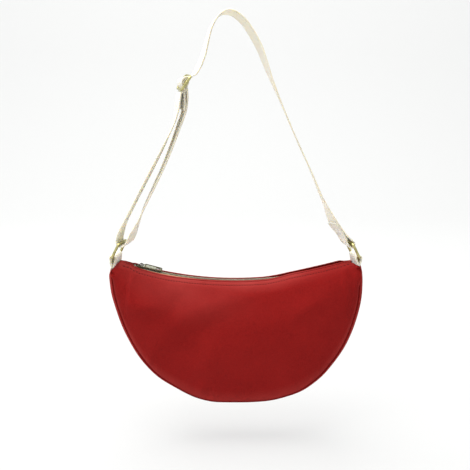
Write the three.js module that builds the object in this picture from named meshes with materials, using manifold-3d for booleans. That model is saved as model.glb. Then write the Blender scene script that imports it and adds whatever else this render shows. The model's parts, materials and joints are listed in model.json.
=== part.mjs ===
// A zipped half moon shoulder bag, hanging from the top of its strap.
// Millimetres. +Z up, +X to the right seen from the front, and the front panel faces -Y.
// The origin is on the inner face of the strap at its highest point.
import * as THREE from "three";
import { mergeVertices } from "three/addons/utils/BufferGeometryUtils.js";
import Module from "manifold-3d";

// Driving dimensions

// body: the chord is the straight line through the two top corners
const STRAP_DROP = 316; // strap top to chord
const BODY_SHIFT = 8; // body centre beside the strap top
const BODY_WIDTH = 343.6;
const BODY_DROP = 201.3; // chord to base
const WIDEST_DROP = 8.8; // chord to the widest level
const SIDE_POWER = 2.65; // fullness of the half moon, sideways
const BASE_POWER_LEFT = 1.71; // and downwards, on the left
const BASE_POWER_RIGHT = 2.23; // and on the right, where the bag sags fuller
const CORNER_ANGLE = 92; // degrees round the half moon from its base to a corner
const CORNER_PINCH = 1; // how far the sides draw in at the corners
const PINCH_ANGLE = 15; // degrees over which they do
const GUSSET_BASE_WIDTH = 60;
const GUSSET_END_WIDTH = 38;
const GUSSET_CROWN = 12; // power of the gusset's flat crown
const SEAM_INSET = 4; // panel seams lie this far inside the gusset's crown
const PANEL_DOME = 13; // how far a panel swells past its seams
const PANEL_TUCK = 3; // how much further in the seams lie at the corners
const CANVAS = 1.2;
const LINING = 0.5;
const SEWN_GAP = 0.3; // between pieces that are sewn face to face
const LINING_GAP = 1.8; // canvas to lining

// mouth: the zip lies on an arc that dips below the chord
const MOUTH_SAG = 26;
const MOUTH_GAP = 10.4; // between the two hem folds
const HEM_CORNER_GAP = 12.8; // hem end to gusset
const HEM_DEPTH = 10;
const HEM_THICKNESS = 1.4;
const HEM_SLOPE = 46; // degrees below level
const HEM_LIFT = 1.2; // fold above the zip's middle plane
const HEM_SWING_GAP = 1.2; // hem to panel
const END_GAP = 3; // between the folds beyond the zip
const END_TAPER = 10; // length over which the folds close to that

// zip
const ZIP_MARGIN = 20; // teeth end to hem end
const TOOTH_PITCH = 5;
const TOOTH_DEPTH = 2.4;
const TOOTH_NOTCH = 1;
const TEETH_HEIGHT = 2.4;
const TEETH_PARTING = 1.6; // gap between the two rows
const TAPE_OVERHANG = 9; // tape past each end of the teeth
const TAPE_THICKNESS = 0.7;
const TAPE_DEPTH = 8;
const STOP_LENGTH = 2.6;
const STOP_WALL = 0.4; // stop beyond the teeth, above and below
const STOP_GAP = 0.4;
const SLIDER_LENGTH = 11;
const SLIDER_WIDTH = 8.6;
const SLIDER_TAIL = 6.4; // width of the slider's narrow end
const SLIDER_PLATE = 1.2;
const SLIDER_PLAY = 0.6; // over and under the teeth
const SLIDER_POST = 0.6; // radius of the post between the rows
const BAIL_INNER = 1.7;
const BAIL_OUTER = 2.9;
const BAIL_WIDTH = 2.4;
const PULL_LENGTH = 29;
const PULL_WIDTH = 8;
const PULL_NECK = 6;
const PULL_THICKNESS = 1.2;
const PULL_BAR = 1.4; // bar that lies under the bail
const PULL_PLAY = 0.6;
const PULL_SLOT_LENGTH = 5;
const PULL_SLOT_WIDTH = 3;
const PULL_SLOT_MARGIN = 3;

// webbing and brass
const WEB_WIDTH = 25;
const WEB = 1.8; // thickness
const WIRE = 3.2; // ring wire diameter
const RING_SPAN = 22.6; // between the middles of a ring's long bars
const RING_LEAN = 27.7; // degrees, feet outwards
const RING_SIDE_PLAY = 1.1; // webbing edge to ring
const RING_CORNER = 4.5;
const LOOP_PLAY = 1.2; // wire to webbing inside a loop
const TAB_REACH = 11; // gusset end up to ring bar
const TAB_LEAN = 5; // and inwards to it
const TAB_LAP = 2.5; // degrees of the gusset that a tab is sewn over
const TAB_GAP = 0.5; // tab to gusset
const CROWN_FLAT = 8; // flat stretch at the strap top
const CROWN_EASE = 2; // level lead at each end of it
const CROWN_YAW = 13; // degrees that the strap top is turned
const FLAP_LENGTH = 34; // sewn end beside the right ring
const FLAP_MEET = 14; // ring bar to where the flap meets the strap
const RIGHT_LEAN = 37; // degrees, the strap's right foot
const RIGHT_FOOT = 42; // straight length of that foot
const RIGHT_BOW = 8; // how far the right leg bows inwards

// adjuster: three bars on two side rails
const ADJUSTER_X = -53;
const ADJUSTER_DROP = 82;
const ADJUSTER_YAW = 12; // degrees
const ADJUSTER_PITCH = 10.5; // middle bar to outer bar
const ADJUSTER_BAR = 1.25; // radius
const ADJUSTER_RAIL = 3;
const ADJUSTER_RAIL_THICKNESS = 2.5;
const ADJUSTER_PLAY = 0.4; // bar to webbing
const ADJUSTER_SIDE_PLAY = 1; // webbing edge to rail
const TWIST_FROM = 20; // height over the left ring where the strap starts to turn
const TWIST_OVER = 80; // length that the turn takes
const TAIL_LENGTH = 36; // end of the webbing below the middle bar
const FOLD_LENGTH = 40; // sewn part of the return run
const FOLD_MEET = 12; // middle bar to where the two layers meet
const RETURN_START = 6; // straight part of the return run over the ring
const RETURN_BELLY = 9; // how far the return run stands off the strap
const RETURN_GAP = 1; // between the ends of the strap's nodes

// Finishes

const canvasRed = new THREE.MeshStandardMaterial({ color: 0x921f21, roughness: 0.85 });
const liningTan = new THREE.MeshStandardMaterial({ color: 0xcdb894, roughness: 0.9 });
const webbingCream = new THREE.MeshStandardMaterial({ color: 0xefe9da, roughness: 0.9 });
const tapeTan = new THREE.MeshStandardMaterial({ color: 0xc6ad85, roughness: 0.9 });
const brass = new THREE.MeshStandardMaterial({ color: 0xb08a4e, roughness: 0.35, metalness: 1 });
const agedBrass = new THREE.MeshStandardMaterial({ color: 0x8d7142, roughness: 0.45, metalness: 1 });

// Geometry helpers

const radians = THREE.MathUtils.degToRad;
const smooth = (share) => THREE.MathUtils.smoothstep(share, 0, 1);
const between = THREE.MathUtils.lerp;
const point = (x, y, z) => new THREE.Vector3(x, y, z);
const flatPoint = (x, y) => new THREE.Vector2(x, y);
const shares = (count) => Array.from({ length: count + 1 }, (_, i) => i / count);
const signedPower = (value, power) => Math.sign(value) * Math.abs(value) ** power;

// The geometry with its faces turned to point out.
function outward(geometry) {
  const [a, b, c] = [point(), point(), point()];
  const index = geometry.index.array;
  const position = geometry.attributes.position;
  let volume = 0;
  for (let i = 0; i < index.length; i += 3) {
    a.fromBufferAttribute(position, index[i]);
    b.fromBufferAttribute(position, index[i + 1]);
    c.fromBufferAttribute(position, index[i + 2]);
    volume += a.dot(b.cross(c));
  }
  if (volume < 0) {
    index.reverse();
  }
  geometry.computeVertexNormals();
  return geometry;
}

// A closed body from convex rings of points, joined in order: capped at both ends, or joined end to end.
function loft(rings, endless = false) {
  const sides = rings[0].length;
  const index = [];
  const links = endless ? rings.length : rings.length - 1;
  for (let i = 0; i < links; i++) {
    const near = i * sides;
    const far = ((i + 1) % rings.length) * sides;
    for (let j = 0; j < sides; j++) {
      const k = (j + 1) % sides;
      index.push(near + j, near + k, far + k, near + j, far + k, far + j);
    }
  }
  if (!endless) {
    const last = (rings.length - 1) * sides;
    for (let j = 1; j < sides - 1; j++) {
      index.push(0, j + 1, j, last, last + j, last + j + 1);
    }
  }
  return outward(new THREE.BufferGeometry().setFromPoints(rings.flat()).setIndex(index));
}

// A thin curved wall. surface(u, v) is the outer face, and the wall fills it inwards from depth on.
function wall(surface, columns, rows, depth, thickness) {
  const NUDGE = 0.004;
  const inside = (u, v, inwards) => {
    const along = surface(Math.min(u + NUDGE, 1), v).sub(surface(Math.max(u - NUDGE, 0), v));
    const down = surface(u, Math.min(v + NUDGE, 1)).sub(surface(u, Math.max(v - NUDGE, 0)));
    return surface(u, v).addScaledVector(along.cross(down).normalize(), inwards);
  };
  const face = (inwards) => shares(columns).flatMap((u) => shares(rows).map((v) => inside(u, v, inwards)));
  const points = [...face(depth), ...face(depth + thickness)];
  const outer = (i, j) => i * (rows + 1) + j;
  const inner = (i, j) => points.length / 2 + outer(i, j);
  const index = [];
  const quad = (a, b, c, d) => index.push(a, b, c, a, c, d);
  for (let i = 0; i < columns; i++) {
    for (let j = 0; j < rows; j++) {
      quad(outer(i, j), outer(i + 1, j), outer(i + 1, j + 1), outer(i, j + 1));
      quad(inner(i, j), inner(i, j + 1), inner(i + 1, j + 1), inner(i + 1, j));
    }
    quad(outer(i + 1, 0), outer(i, 0), inner(i, 0), inner(i + 1, 0));
    quad(outer(i, rows), outer(i + 1, rows), inner(i + 1, rows), inner(i, rows));
  }
  for (let j = 0; j < rows; j++) {
    quad(outer(0, j), outer(0, j + 1), inner(0, j + 1), inner(0, j));
    quad(outer(columns, j + 1), outer(columns, j), inner(columns, j), inner(columns, j + 1));
  }
  return outward(new THREE.BufferGeometry().setFromPoints(points).setIndex(index));
}

// The directions from each point of a line to the next, averaged where two meet.
function tangents(line) {
  return line.map((p, i) => {
    const before = line[Math.max(i - 1, 0)];
    const after = line[Math.min(i + 1, line.length - 1)];
    const into = p.clone().sub(before).normalize();
    const out = after.clone().sub(p).normalize();
    return into.add(out).normalize();
  });
}

// Webbing along a flat line. place(along, across, sideways) puts it in the part's frame.
function flatWebbing(line, place) {
  const directions = tangents(line);
  const rings = line.map((p, i) => {
    const normal = flatPoint(-directions[i].y, directions[i].x);
    return [[-1, -1], [1, -1], [1, 1], [-1, 1]].map(([face, edge]) => {
      const q = p.clone().addScaledVector(normal, (face * WEB) / 2);
      return place(q.x, q.y, (edge * WEB_WIDTH) / 2);
    });
  });
  return loft(rings);
}

// Webbing along a line in space, turned by a yaw at each point.
function turnedWebbing(line, yaws) {
  const directions = tangents(line);
  const rings = line.map((p, i) => {
    const { sideways, facing } = webbingAxes(directions[i], yaws[i]);
    return [[-1, -1], [1, -1], [1, 1], [-1, 1]].map(([face, edge]) =>
      p
        .clone()
        .addScaledVector(facing, (face * WEB) / 2)
        .addScaledVector(sideways, (edge * WEB_WIDTH) / 2),
    );
  });
  return loft(rings);
}

// The width and face directions of webbing that runs along a direction, with its near edge turned to +X.
function webbingAxes(direction, yaw) {
  const level = point(-Math.sin(radians(yaw)), Math.cos(radians(yaw)), 0);
  const sideways = level.addScaledVector(direction, -level.dot(direction)).normalize();
  return { sideways, facing: sideways.clone().cross(direction) };
}

const wasm = await Module();
wasm.setup();

function toSolid(geometry) {
  const bare = geometry.clone();
  bare.deleteAttribute("normal");
  bare.deleteAttribute("uv");
  const merged = mergeVertices(bare);
  return new wasm.Manifold(
    new wasm.Mesh({
      numProp: 3,
      vertProperties: merged.attributes.position.array,
      triVerts: new Uint32Array(merged.index.array),
    }),
  );
}

function joined(geometries) {
  const mesh = geometries.map(toSolid).reduce((a, b) => a.add(b)).getMesh();
  const geometry = new THREE.BufferGeometry();
  geometry.setAttribute("position", new THREE.BufferAttribute(mesh.vertProperties, 3));
  geometry.setIndex(new THREE.BufferAttribute(mesh.triVerts, 1));
  geometry.computeVertexNormals();
  return geometry;
}

const bag = new THREE.Group();

function add(name, geometry, material, parent = bag) {
  const mesh = new THREE.Mesh(geometry, material);
  mesh.name = name;
  parent.add(mesh);
}

// The half moon's outline and the mouth

// A point of the half moon, by the angle from its base, drawn in by an inset.
function outline(angle, inset) {
  const pinched = smooth((Math.abs(angle) - CORNER_ANGLE + PINCH_ANGLE) / PINCH_ANGLE);
  const halfWidth = BODY_WIDTH / 2 - inset - CORNER_PINCH * pinched;
  const height = BODY_DROP - WIDEST_DROP - inset;
  const rise = Math.cos(radians(angle));
  const power = rise < 0 ? 1 : 2 / (angle < 0 ? BASE_POWER_LEFT : BASE_POWER_RIGHT);
  const x = halfWidth * signedPower(Math.sin(radians(angle)), 2 / SIDE_POWER);
  const z = -WIDEST_DROP - height * signedPower(rise, power);
  return flatPoint(BODY_SHIFT + x, z - STRAP_DROP);
}

function gussetHalfWidth(angle) {
  const share = Math.cos(radians((angle * 90) / CORNER_ANGLE)) ** 2;
  return between(GUSSET_END_WIDTH, GUSSET_BASE_WIDTH, share) / 2;
}

const hemHalfLength = BODY_WIDTH / 2 - CORNER_PINCH - HEM_CORNER_GAP;
const teethHalfLength = hemHalfLength - ZIP_MARGIN;
const mouthRadius = (hemHalfLength ** 2 + MOUTH_SAG ** 2) / (2 * MOUTH_SAG);
const mouthHeight = (x) => mouthRadius - MOUTH_SAG - Math.sqrt(mouthRadius ** 2 - x ** 2) - STRAP_DROP;

// Half the gap between the hem folds, x from the body's centre.
function foldHalfGap(x) {
  const closing = smooth((Math.abs(x) - hemHalfLength + END_TAPER) / END_TAPER);
  return between(MOUTH_GAP, END_GAP, closing) / 2;
}

// A point of a hem's slope: how far down from its fold, and how far in from its outer face.
// The side is -1 at the front and 1 at the back.
function hemPoint(side, x, down, inwards) {
  const [sine, cosine] = [Math.sin(radians(HEM_SLOPE)), Math.cos(radians(HEM_SLOPE))];
  const y = foldHalfGap(x) + down * cosine - inwards * sine;
  const z = mouthHeight(x) + HEM_LIFT - down * sine - inwards * cosine;
  return point(BODY_SHIFT + x, side * y, z);
}

// Body panels, gusset and lining

function frontPanelFace(u, v) {
  const round = 2 * u - 1;
  const x = hemHalfLength * Math.sin((round * Math.PI) / 2);
  const top = hemPoint(-1, x, HEM_DEPTH + HEM_SWING_GAP, 0);
  const angle = round * CORNER_ANGLE;
  const seam = outline(angle, SEAM_INSET + PANEL_TUCK * round ** 6);
  const swell = PANEL_DOME * (1 - round ** 2) ** 0.7 * Math.sin(Math.PI * v ** 0.75);
  const y = between(top.y, -gussetHalfWidth(angle), v) - swell;
  return point(between(top.x, seam.x, v), y, between(top.z, seam.y, v));
}

function backPanelFace(u, v) {
  return frontPanelFace(1 - u, v).multiply(point(1, -1, 1));
}

// The gusset from seam to seam, with a margin at each.
const gussetFace = (angleReach, margin) => (u, v) => {
  const angle = (2 * u - 1) * angleReach;
  const across = signedPower(2 * v - 1, 0.35);
  const place = outline(angle, SEAM_INSET * Math.abs(across) ** GUSSET_CROWN);
  return point(place.x, across * (gussetHalfWidth(angle) - margin), place.y);
};

// The same face without its outer edges.
const inset = (surface, ends, edge) => (u, v) =>
  surface(between(ends, 1 - ends, u), between(edge, 1 - edge, v));

const PANEL_COLUMNS = 26;
const PANEL_ROWS = 9;
const GUSSET_COLUMNS = 38;
const GUSSET_ROWS = 8;
const LINING_COLUMNS = 20;
const LINING_ROWS = 7;
const LINING_ENDS = 0.1; // share of the panel that its lining leaves bare at the corners
const LINING_EDGE = 0.05; // and at the seam and the hem
const LINING_MARGIN = 6; // the gusset's lining stops this far from the seams
const LINING_REACH = 76; // degrees round the half moon
const seamMargin = CANVAS + SEWN_GAP;
const liningDepth = CANVAS + LINING_GAP;
add("front_panel", wall(frontPanelFace, PANEL_COLUMNS, PANEL_ROWS, 0, CANVAS), canvasRed);
add("back_panel", wall(backPanelFace, PANEL_COLUMNS, PANEL_ROWS, 0, CANVAS), canvasRed);
add("gusset", wall(gussetFace(CORNER_ANGLE, seamMargin), GUSSET_COLUMNS, GUSSET_ROWS, 0, CANVAS), canvasRed);
for (const [name, surface] of [["lining_front", frontPanelFace], ["lining_back", backPanelFace]]) {
  const bare = inset(surface, LINING_ENDS, LINING_EDGE);
  add(name, wall(bare, LINING_COLUMNS, LINING_ROWS, liningDepth, LINING), liningTan);
}
const gussetLining = gussetFace(LINING_REACH, LINING_MARGIN);
add("lining_gusset", wall(gussetLining, LINING_COLUMNS, GUSSET_ROWS, liningDepth, LINING), liningTan);

// Hems, zip tapes, teeth and stops

const HEM_STEPS = 32;
const symmetric = (half, count) => shares(count).map((share) => between(-half, half, share));

// A strip along the mouth under a hem, as deep down the hem's slope as given.
function mouthStrip(side, halfLength, from, down, inwards, thickness) {
  const rings = symmetric(halfLength, HEM_STEPS).map((x) => [
    hemPoint(side, x, from, inwards),
    hemPoint(side, x, from + down, inwards),
    hemPoint(side, x, from + down, inwards + thickness),
    hemPoint(side, x, from, inwards + thickness),
  ]);
  return loft(rings);
}

// A block along the mouth between two distances from the zip's middle.
function mouthBlock(side, xs, inner, outer, height) {
  const rings = xs.map((x, i) => {
    const middle = mouthHeight(x);
    const edge = inner(i);
    return [[edge, -1], [outer, -1], [outer, 1], [edge, 1]].map(([y, up]) =>
      point(BODY_SHIFT + x, side * y, middle + (up * height) / 2),
    );
  });
  return loft(rings);
}

const teethInner = TEETH_PARTING / 2;
const teethOuter = teethInner + TOOTH_DEPTH;
const toothSteps = 2 * Math.round((2 * teethHalfLength) / TOOTH_PITCH);
const stopHeight = TEETH_HEIGHT + 2 * STOP_WALL;
const stopNear = teethHalfLength + STOP_GAP;
const tapeInset = HEM_THICKNESS + SEWN_GAP;
const tapeHalfLength = teethHalfLength + TAPE_OVERHANG;
// the tape starts just outside the teeth, at its height under the hem's fold
const tapeLean = (tapeInset + TAPE_THICKNESS) * Math.sin(radians(HEM_SLOPE));
const tapeEdge = teethOuter + SEWN_GAP - MOUTH_GAP / 2 + tapeLean;
const tapeStart = tapeEdge / Math.cos(radians(HEM_SLOPE));
for (const [name, side] of [["front", -1], ["back", 1]]) {
  add(`${name}_hem`, mouthStrip(side, hemHalfLength, 0, HEM_DEPTH, 0, HEM_THICKNESS), canvasRed);
  const tapeStrip = mouthStrip(side, tapeHalfLength, tapeStart, TAPE_DEPTH, tapeInset, TAPE_THICKNESS);
  add(`zip_tape_${name}`, tapeStrip, tapeTan);
  const notch = (i) => teethInner + (i % 2 ? TOOTH_NOTCH : 0);
  const row = mouthBlock(side, symmetric(teethHalfLength, toothSteps), notch, teethOuter, TEETH_HEIGHT);
  add(`zip_teeth_${name}`, row, agedBrass);
  const stopEnds = [-stopNear - STOP_LENGTH, -stopNear];
  const topStop = mouthBlock(side, stopEnds, () => teethInner, teethOuter, stopHeight);
  add(`zip_stop_${name}`, topStop, agedBrass);
}
const endStop = mouthBlock(1, [stopNear, stopNear + STOP_LENGTH], () => -teethOuter, teethOuter, stopHeight);
add("zip_stop_end", endStop, agedBrass);

// Zip slider and pull, in a group that follows the slope of the mouth

const sliderX = -teethHalfLength + SLIDER_LENGTH / 2 + 1;
const channel = TEETH_HEIGHT / 2 + SLIDER_PLAY;
const slider = new THREE.Group();
slider.position.set(BODY_SHIFT + sliderX, 0, mouthHeight(sliderX));
slider.rotation.y = -Math.asin(sliderX / mouthRadius);
bag.add(slider);

function extruded(shape, depth, bottom) {
  const geometry = new THREE.ExtrudeGeometry(shape, { depth, bevelEnabled: false, curveSegments: 6 });
  return geometry.translate(0, 0, bottom);
}

function sliderPlate(bottom) {
  const half = SLIDER_LENGTH / 2;
  const shape = new THREE.Shape();
  shape.moveTo(half, -SLIDER_TAIL / 2);
  shape.lineTo(half, SLIDER_TAIL / 2);
  shape.quadraticCurveTo(0, SLIDER_WIDTH / 2, -half, SLIDER_WIDTH / 2);
  shape.lineTo(-half, -SLIDER_WIDTH / 2);
  shape.quadraticCurveTo(0, -SLIDER_WIDTH / 2, half, -SLIDER_TAIL / 2);
  return extruded(shape, SLIDER_PLATE, bottom);
}

// The bail is an arch round the pull's bar, standing on the upper plate.
const bailFoot = channel + SLIDER_PLATE;
const pullHeight = bailFoot + Math.hypot(PULL_BAR, PULL_THICKNESS) / 2 + SEWN_GAP;

function bailArch() {
  const SUNK = 0.4; // into the plate
  const foot = bailFoot - SUNK - pullHeight;
  const shape = new THREE.Shape();
  shape.moveTo(-BAIL_OUTER, foot);
  shape.lineTo(-BAIL_INNER, foot);
  shape.lineTo(-BAIL_INNER, 0);
  shape.absarc(0, 0, BAIL_INNER, Math.PI, 0, true);
  shape.lineTo(BAIL_INNER, foot);
  shape.lineTo(BAIL_OUTER, foot);
  shape.lineTo(BAIL_OUTER, 0);
  shape.absarc(0, 0, BAIL_OUTER, 0, Math.PI, false);
  const geometry = extruded(shape, BAIL_WIDTH, -BAIL_WIDTH / 2);
  return geometry.rotateX(Math.PI / 2).translate(0, 0, pullHeight);
}

function sliderPost() {
  const length = 2 * channel + SLIDER_PLATE;
  const geometry = new THREE.CylinderGeometry(SLIDER_POST, SLIDER_POST, length, 8);
  return geometry.rotateX(Math.PI / 2).translate(-SLIDER_LENGTH / 4, 0, 0);
}

const sliderPieces = [sliderPlate(channel), sliderPlate(-channel - SLIDER_PLATE), sliderPost(), bailArch()];
add("zip_slider", joined(sliderPieces), agedBrass, slider);

// The pull lies along the mouth, hung on the bail by the bar at its end.
function pullTab() {
  const neckEnd = BAIL_OUTER + PULL_PLAY;
  const shoulder = neckEnd + (PULL_WIDTH - PULL_NECK);
  const shape = new THREE.Shape();
  const round = PULL_WIDTH / 4;
  shape.moveTo(-PULL_BAR / 2, -PULL_NECK / 2);
  shape.lineTo(neckEnd, -PULL_NECK / 2);
  shape.lineTo(shoulder, -PULL_WIDTH / 2);
  shape.lineTo(PULL_LENGTH - round, -PULL_WIDTH / 2);
  shape.quadraticCurveTo(PULL_LENGTH, -PULL_WIDTH / 2, PULL_LENGTH, -PULL_WIDTH / 2 + round);
  shape.lineTo(PULL_LENGTH, PULL_WIDTH / 2 - round);
  shape.quadraticCurveTo(PULL_LENGTH, PULL_WIDTH / 2, PULL_LENGTH - round, PULL_WIDTH / 2);
  shape.lineTo(shoulder, PULL_WIDTH / 2);
  shape.lineTo(neckEnd, PULL_NECK / 2);
  shape.lineTo(-PULL_BAR / 2, PULL_NECK / 2);
  const slotEnd = PULL_LENGTH - PULL_SLOT_MARGIN;
  shape.holes.push(rectangle(PULL_BAR / 2, neckEnd, BAIL_WIDTH + 2 * PULL_PLAY));
  shape.holes.push(rectangle(slotEnd - PULL_SLOT_LENGTH, slotEnd, PULL_SLOT_WIDTH));
  return extruded(shape, PULL_THICKNESS, pullHeight - PULL_THICKNESS / 2);
}

function rectangle(from, to, width) {
  const path = new THREE.Path();
  path.moveTo(from, -width / 2);
  path.lineTo(to, -width / 2);
  path.lineTo(to, width / 2);
  path.lineTo(from, width / 2);
  path.closePath();
  return path;
}

add("zip_pull", pullTab(), agedBrass, slider);

// Tabs and rings at the two corners

const loopRadius = WIRE / 2 + LOOP_PLAY + WEB / 2;
const ringHalfWidth = WEB_WIDTH / 2 + RING_SIDE_PLAY + WIRE / 2;
const gussetEnd = (side) => outline(side * CORNER_ANGLE, CANVAS / 2);
const lowBar = (side) => gussetEnd(side).add(flatPoint(-side * TAB_LEAN, TAB_REACH));
const ringLean = (side) => flatPoint(-side * Math.sin(radians(RING_LEAN)), Math.cos(radians(RING_LEAN)));
const highBar = (side) => lowBar(side).addScaledVector(ringLean(side), RING_SPAN);
const upright = (x, z, y) => point(x, y, z);

// Points round a bar, from one angle to another in degrees.
function aroundBar(centre, radius, from, to, count) {
  return shares(count).map((share) => {
    const angle = radians(between(from, to, share));
    return flatPoint(Math.cos(angle), Math.sin(angle)).multiplyScalar(radius).add(centre);
  });
}

// A tab goes up inside the gusset's end, over the ring's low bar and down outside it.
function tabLine(side) {
  const TUCK = 20; // degrees that the loop closes in under the bar
  const layer = CANVAS / 2 + TAB_GAP + WEB / 2;
  const lap = shares(1).map((share) => side * between(CORNER_ANGLE - TAB_LAP, CORNER_ANGLE, share));
  const inside = lap.map((angle) => outline(angle, CANVAS / 2 + layer));
  const outside = lap.map((angle) => outline(angle, CANVAS / 2 - layer)).reverse();
  const over = side > 0 ? [180 + TUCK, -TUCK] : [-TUCK, 180 + TUCK];
  return [...inside, ...aroundBar(lowBar(side), loopRadius, ...over, 10), ...outside];
}

// A ring is wire bent to a rectangle with rounded corners, its long bars along Y.
function ring(side) {
  const SIDES = 10;
  const CORNER_STEPS = 4;
  const centre = lowBar(side).addScaledVector(ringLean(side), RING_SPAN / 2);
  const up = point(ringLean(side).x, 0, ringLean(side).y);
  const across = point(0, 1, 0);
  const through = up.clone().cross(across);
  const reach = [ringHalfWidth - RING_CORNER, RING_SPAN / 2 - RING_CORNER];
  const rings = [[1, 1, 0], [-1, 1, 90], [-1, -1, 180], [1, -1, 270]].flatMap(([a, b, start]) =>
    shares(CORNER_STEPS).map((share) => {
      const turn = radians(start + 90 * share);
      const out = across.clone().multiplyScalar(Math.cos(turn)).addScaledVector(up, Math.sin(turn));
      const middle = point(centre.x, 0, centre.y)
        .addScaledVector(across, a * reach[0])
        .addScaledVector(up, b * reach[1])
        .addScaledVector(out, RING_CORNER);
      return shares(SIDES).slice(1).map((part) => {
        const angle = 2 * Math.PI * part;
        return middle
          .clone()
          .addScaledVector(out, (Math.cos(angle) * WIRE) / 2)
          .addScaledVector(through, (Math.sin(angle) * WIRE) / 2);
      });
    }),
  );
  return loft(rings, true);
}

for (const [name, side] of [["left", -1], ["right", 1]]) {
  add(`${name}_tab`, flatWebbing(tabLine(side), upright), webbingCream);
  add(`${name}_ring`, ring(side), brass);
}

// The doubled run of the strap from the left ring to the adjuster

const leftBar = highBar(-1);
const adjusterPlace = flatPoint(ADJUSTER_X, -ADJUSTER_DROP);
// the strap touches the loop round the left bar on its outer side
const toAdjuster = adjusterPlace.clone().sub(leftBar);
const runLength = Math.sqrt(toAdjuster.lengthSq() - loopRadius ** 2);
const runAngle = toAdjuster.angle() - Math.atan2(loopRadius, runLength);
const runUp = point(Math.cos(runAngle), 0, Math.sin(runAngle));
const runFoot = point(adjusterPlace.x, 0, adjusterPlace.y).addScaledVector(runUp, -runLength);
const runYaw = (along) => ADJUSTER_YAW * smooth((along - TWIST_FROM) / TWIST_OVER);

// A point beside the run: up along it, off its inner face, and across its width.
function besideRun(along, off, sideways) {
  const axes = webbingAxes(runUp, runYaw(along));
  return runFoot
    .clone()
    .addScaledVector(runUp, along)
    .addScaledVector(axes.facing, off)
    .addScaledVector(axes.sideways, sideways);
}

// The strap, from its sewn end at the right ring over the top to the loop round the left ring

const rightBar = highBar(1);
const rightUp = flatPoint(-Math.sin(radians(RIGHT_LEAN)), Math.cos(radians(RIGHT_LEAN)));
const rightOut = flatPoint(rightUp.y, -rightUp.x);
const besideRight = (along, out) =>
  rightBar.clone().addScaledVector(rightUp, along).addScaledVector(rightOut, out);
const CROWN_RIGHT = [[38.5, -42], [29.5, -23], [20, -9], [12, -1.2]];
const CROWN_LEFT = [[-11.5, -2.3], [-18.5, -11.5], [-22, -24], [-26.5, -42]];
const crownHeight = WEB / 2;
const crownReach = CROWN_FLAT / 2 + CROWN_EASE;

function smoothLine(places, count) {
  return new THREE.CatmullRomCurve3(places.map(([x, z]) => point(x, 0, z))).getSpacedPoints(count);
}

function rightLoop() {
  const flap = loopRadius - WEB - SEWN_GAP;
  const turnOf = (degrees) => degrees + RIGHT_LEAN;
  const foot = [RIGHT_FOOT / 3, RIGHT_FOOT * (2 / 3)].map((along) => besideRight(along, loopRadius));
  const wrapped = aroundBar(rightBar, loopRadius, turnOf(165), turnOf(360), 9);
  const loop = [besideRight(FLAP_LENGTH, flap), besideRight(FLAP_MEET, flap), ...wrapped, ...foot];
  return loop.map((p) => point(p.x, 0, p.y));
}

function rightLeg() {
  const foot = besideRight(RIGHT_FOOT, loopRadius);
  const shoulder = flatPoint(...CROWN_RIGHT[0]);
  const chord = shoulder.clone().sub(foot);
  const inwards = flatPoint(-chord.y, chord.x).normalize();
  const bowed = [0.3, 0.6].map((share) =>
    foot
      .clone()
      .addScaledVector(chord, share)
      .addScaledVector(inwards, RIGHT_BOW * Math.sin(Math.PI * share)),
  );
  const places = [foot, ...bowed].map((p) => [p.x, p.y]);
  return smoothLine([...places, ...CROWN_RIGHT, [crownReach, crownHeight]], 28);
}

function leftLeg() {
  const CLEAR = 5; // straight strap over the adjuster's upper bar
  const top = besideRun(runLength + ADJUSTER_PITCH + CLEAR, 0, 0);
  return smoothLine([[-crownReach, crownHeight], ...CROWN_LEFT, [top.x, top.z]], 16);
}

function leftRun() {
  return shares(10).slice(1).map((share) => besideRun(runLength * (1 - share), 0, 0));
}

function leftLoop() {
  const start = THREE.MathUtils.radToDeg(runAngle) + 90;
  const wrap = aroundBar(leftBar, loopRadius, start, start + 180, 8).slice(1);
  const end = besideRun(RETURN_START, 2 * loopRadius, 0);
  return [...wrap.map((p) => point(p.x, 0, p.y)), end];
}

// The strap's top is turned, so its shoulders stand a little behind and before the middle plane.
function turned(line, yawOf) {
  const yaws = line.map((p, i) => yawOf(i / (line.length - 1)));
  const near = (p) => 1 - smooth(-p.z / ADJUSTER_DROP);
  line.forEach((p) => (p.y = p.x * Math.tan(radians(CROWN_YAW)) * near(p)));
  return yaws;
}

const strapParts = [
  [rightLoop(), () => 0],
  [rightLeg(), (share) => CROWN_YAW * smooth(share * 1.4)],
  [[CROWN_FLAT / 2, -CROWN_FLAT / 2].map((x) => point(x, 0, crownHeight)), () => CROWN_YAW],
  [leftLeg(), (share) => between(CROWN_YAW, ADJUSTER_YAW, smooth(share))],
];
const strapYaws = strapParts.flatMap(([line, yawOf]) => turned(line, yawOf));
const run = leftRun();
const runYaws = shares(10).slice(1).map((share) => runYaw(runLength * (1 - share)));
const wrapped = leftLoop();
const strapLine = [...strapParts.flatMap(([line]) => line), ...run, ...wrapped];
const allYaws = [...strapYaws, ...runYaws, ...wrapped.map(() => 0)];
add("strap_webbing", turnedWebbing(strapLine, allYaws), webbingCream);

// Adjuster, with the strap's end folded round its middle bar

const middleBarOff = WEB / 2 + ADJUSTER_PLAY + WEB + ADJUSTER_PLAY + ADJUSTER_BAR;
const outerBarOff = -(WEB / 2 + ADJUSTER_PLAY + ADJUSTER_BAR);
const foldRadius = ADJUSTER_BAR + ADJUSTER_PLAY + WEB / 2;
const tailOff = middleBarOff - foldRadius;
const returnOff = tailOff + WEB + SEWN_GAP;

// The end fold: up the return run, over the middle bar and down again as a sewn tail.
function endFoldLine() {
  const over = aroundBar(flatPoint(runLength, middleBarOff), foldRadius, 105, -90, 9);
  return [
    flatPoint(runLength - FOLD_LENGTH, returnOff),
    flatPoint(runLength - FOLD_MEET, returnOff),
    ...over,
    flatPoint(runLength - FOLD_MEET, tailOff),
    flatPoint(runLength - TAIL_LENGTH, tailOff),
  ];
}

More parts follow.
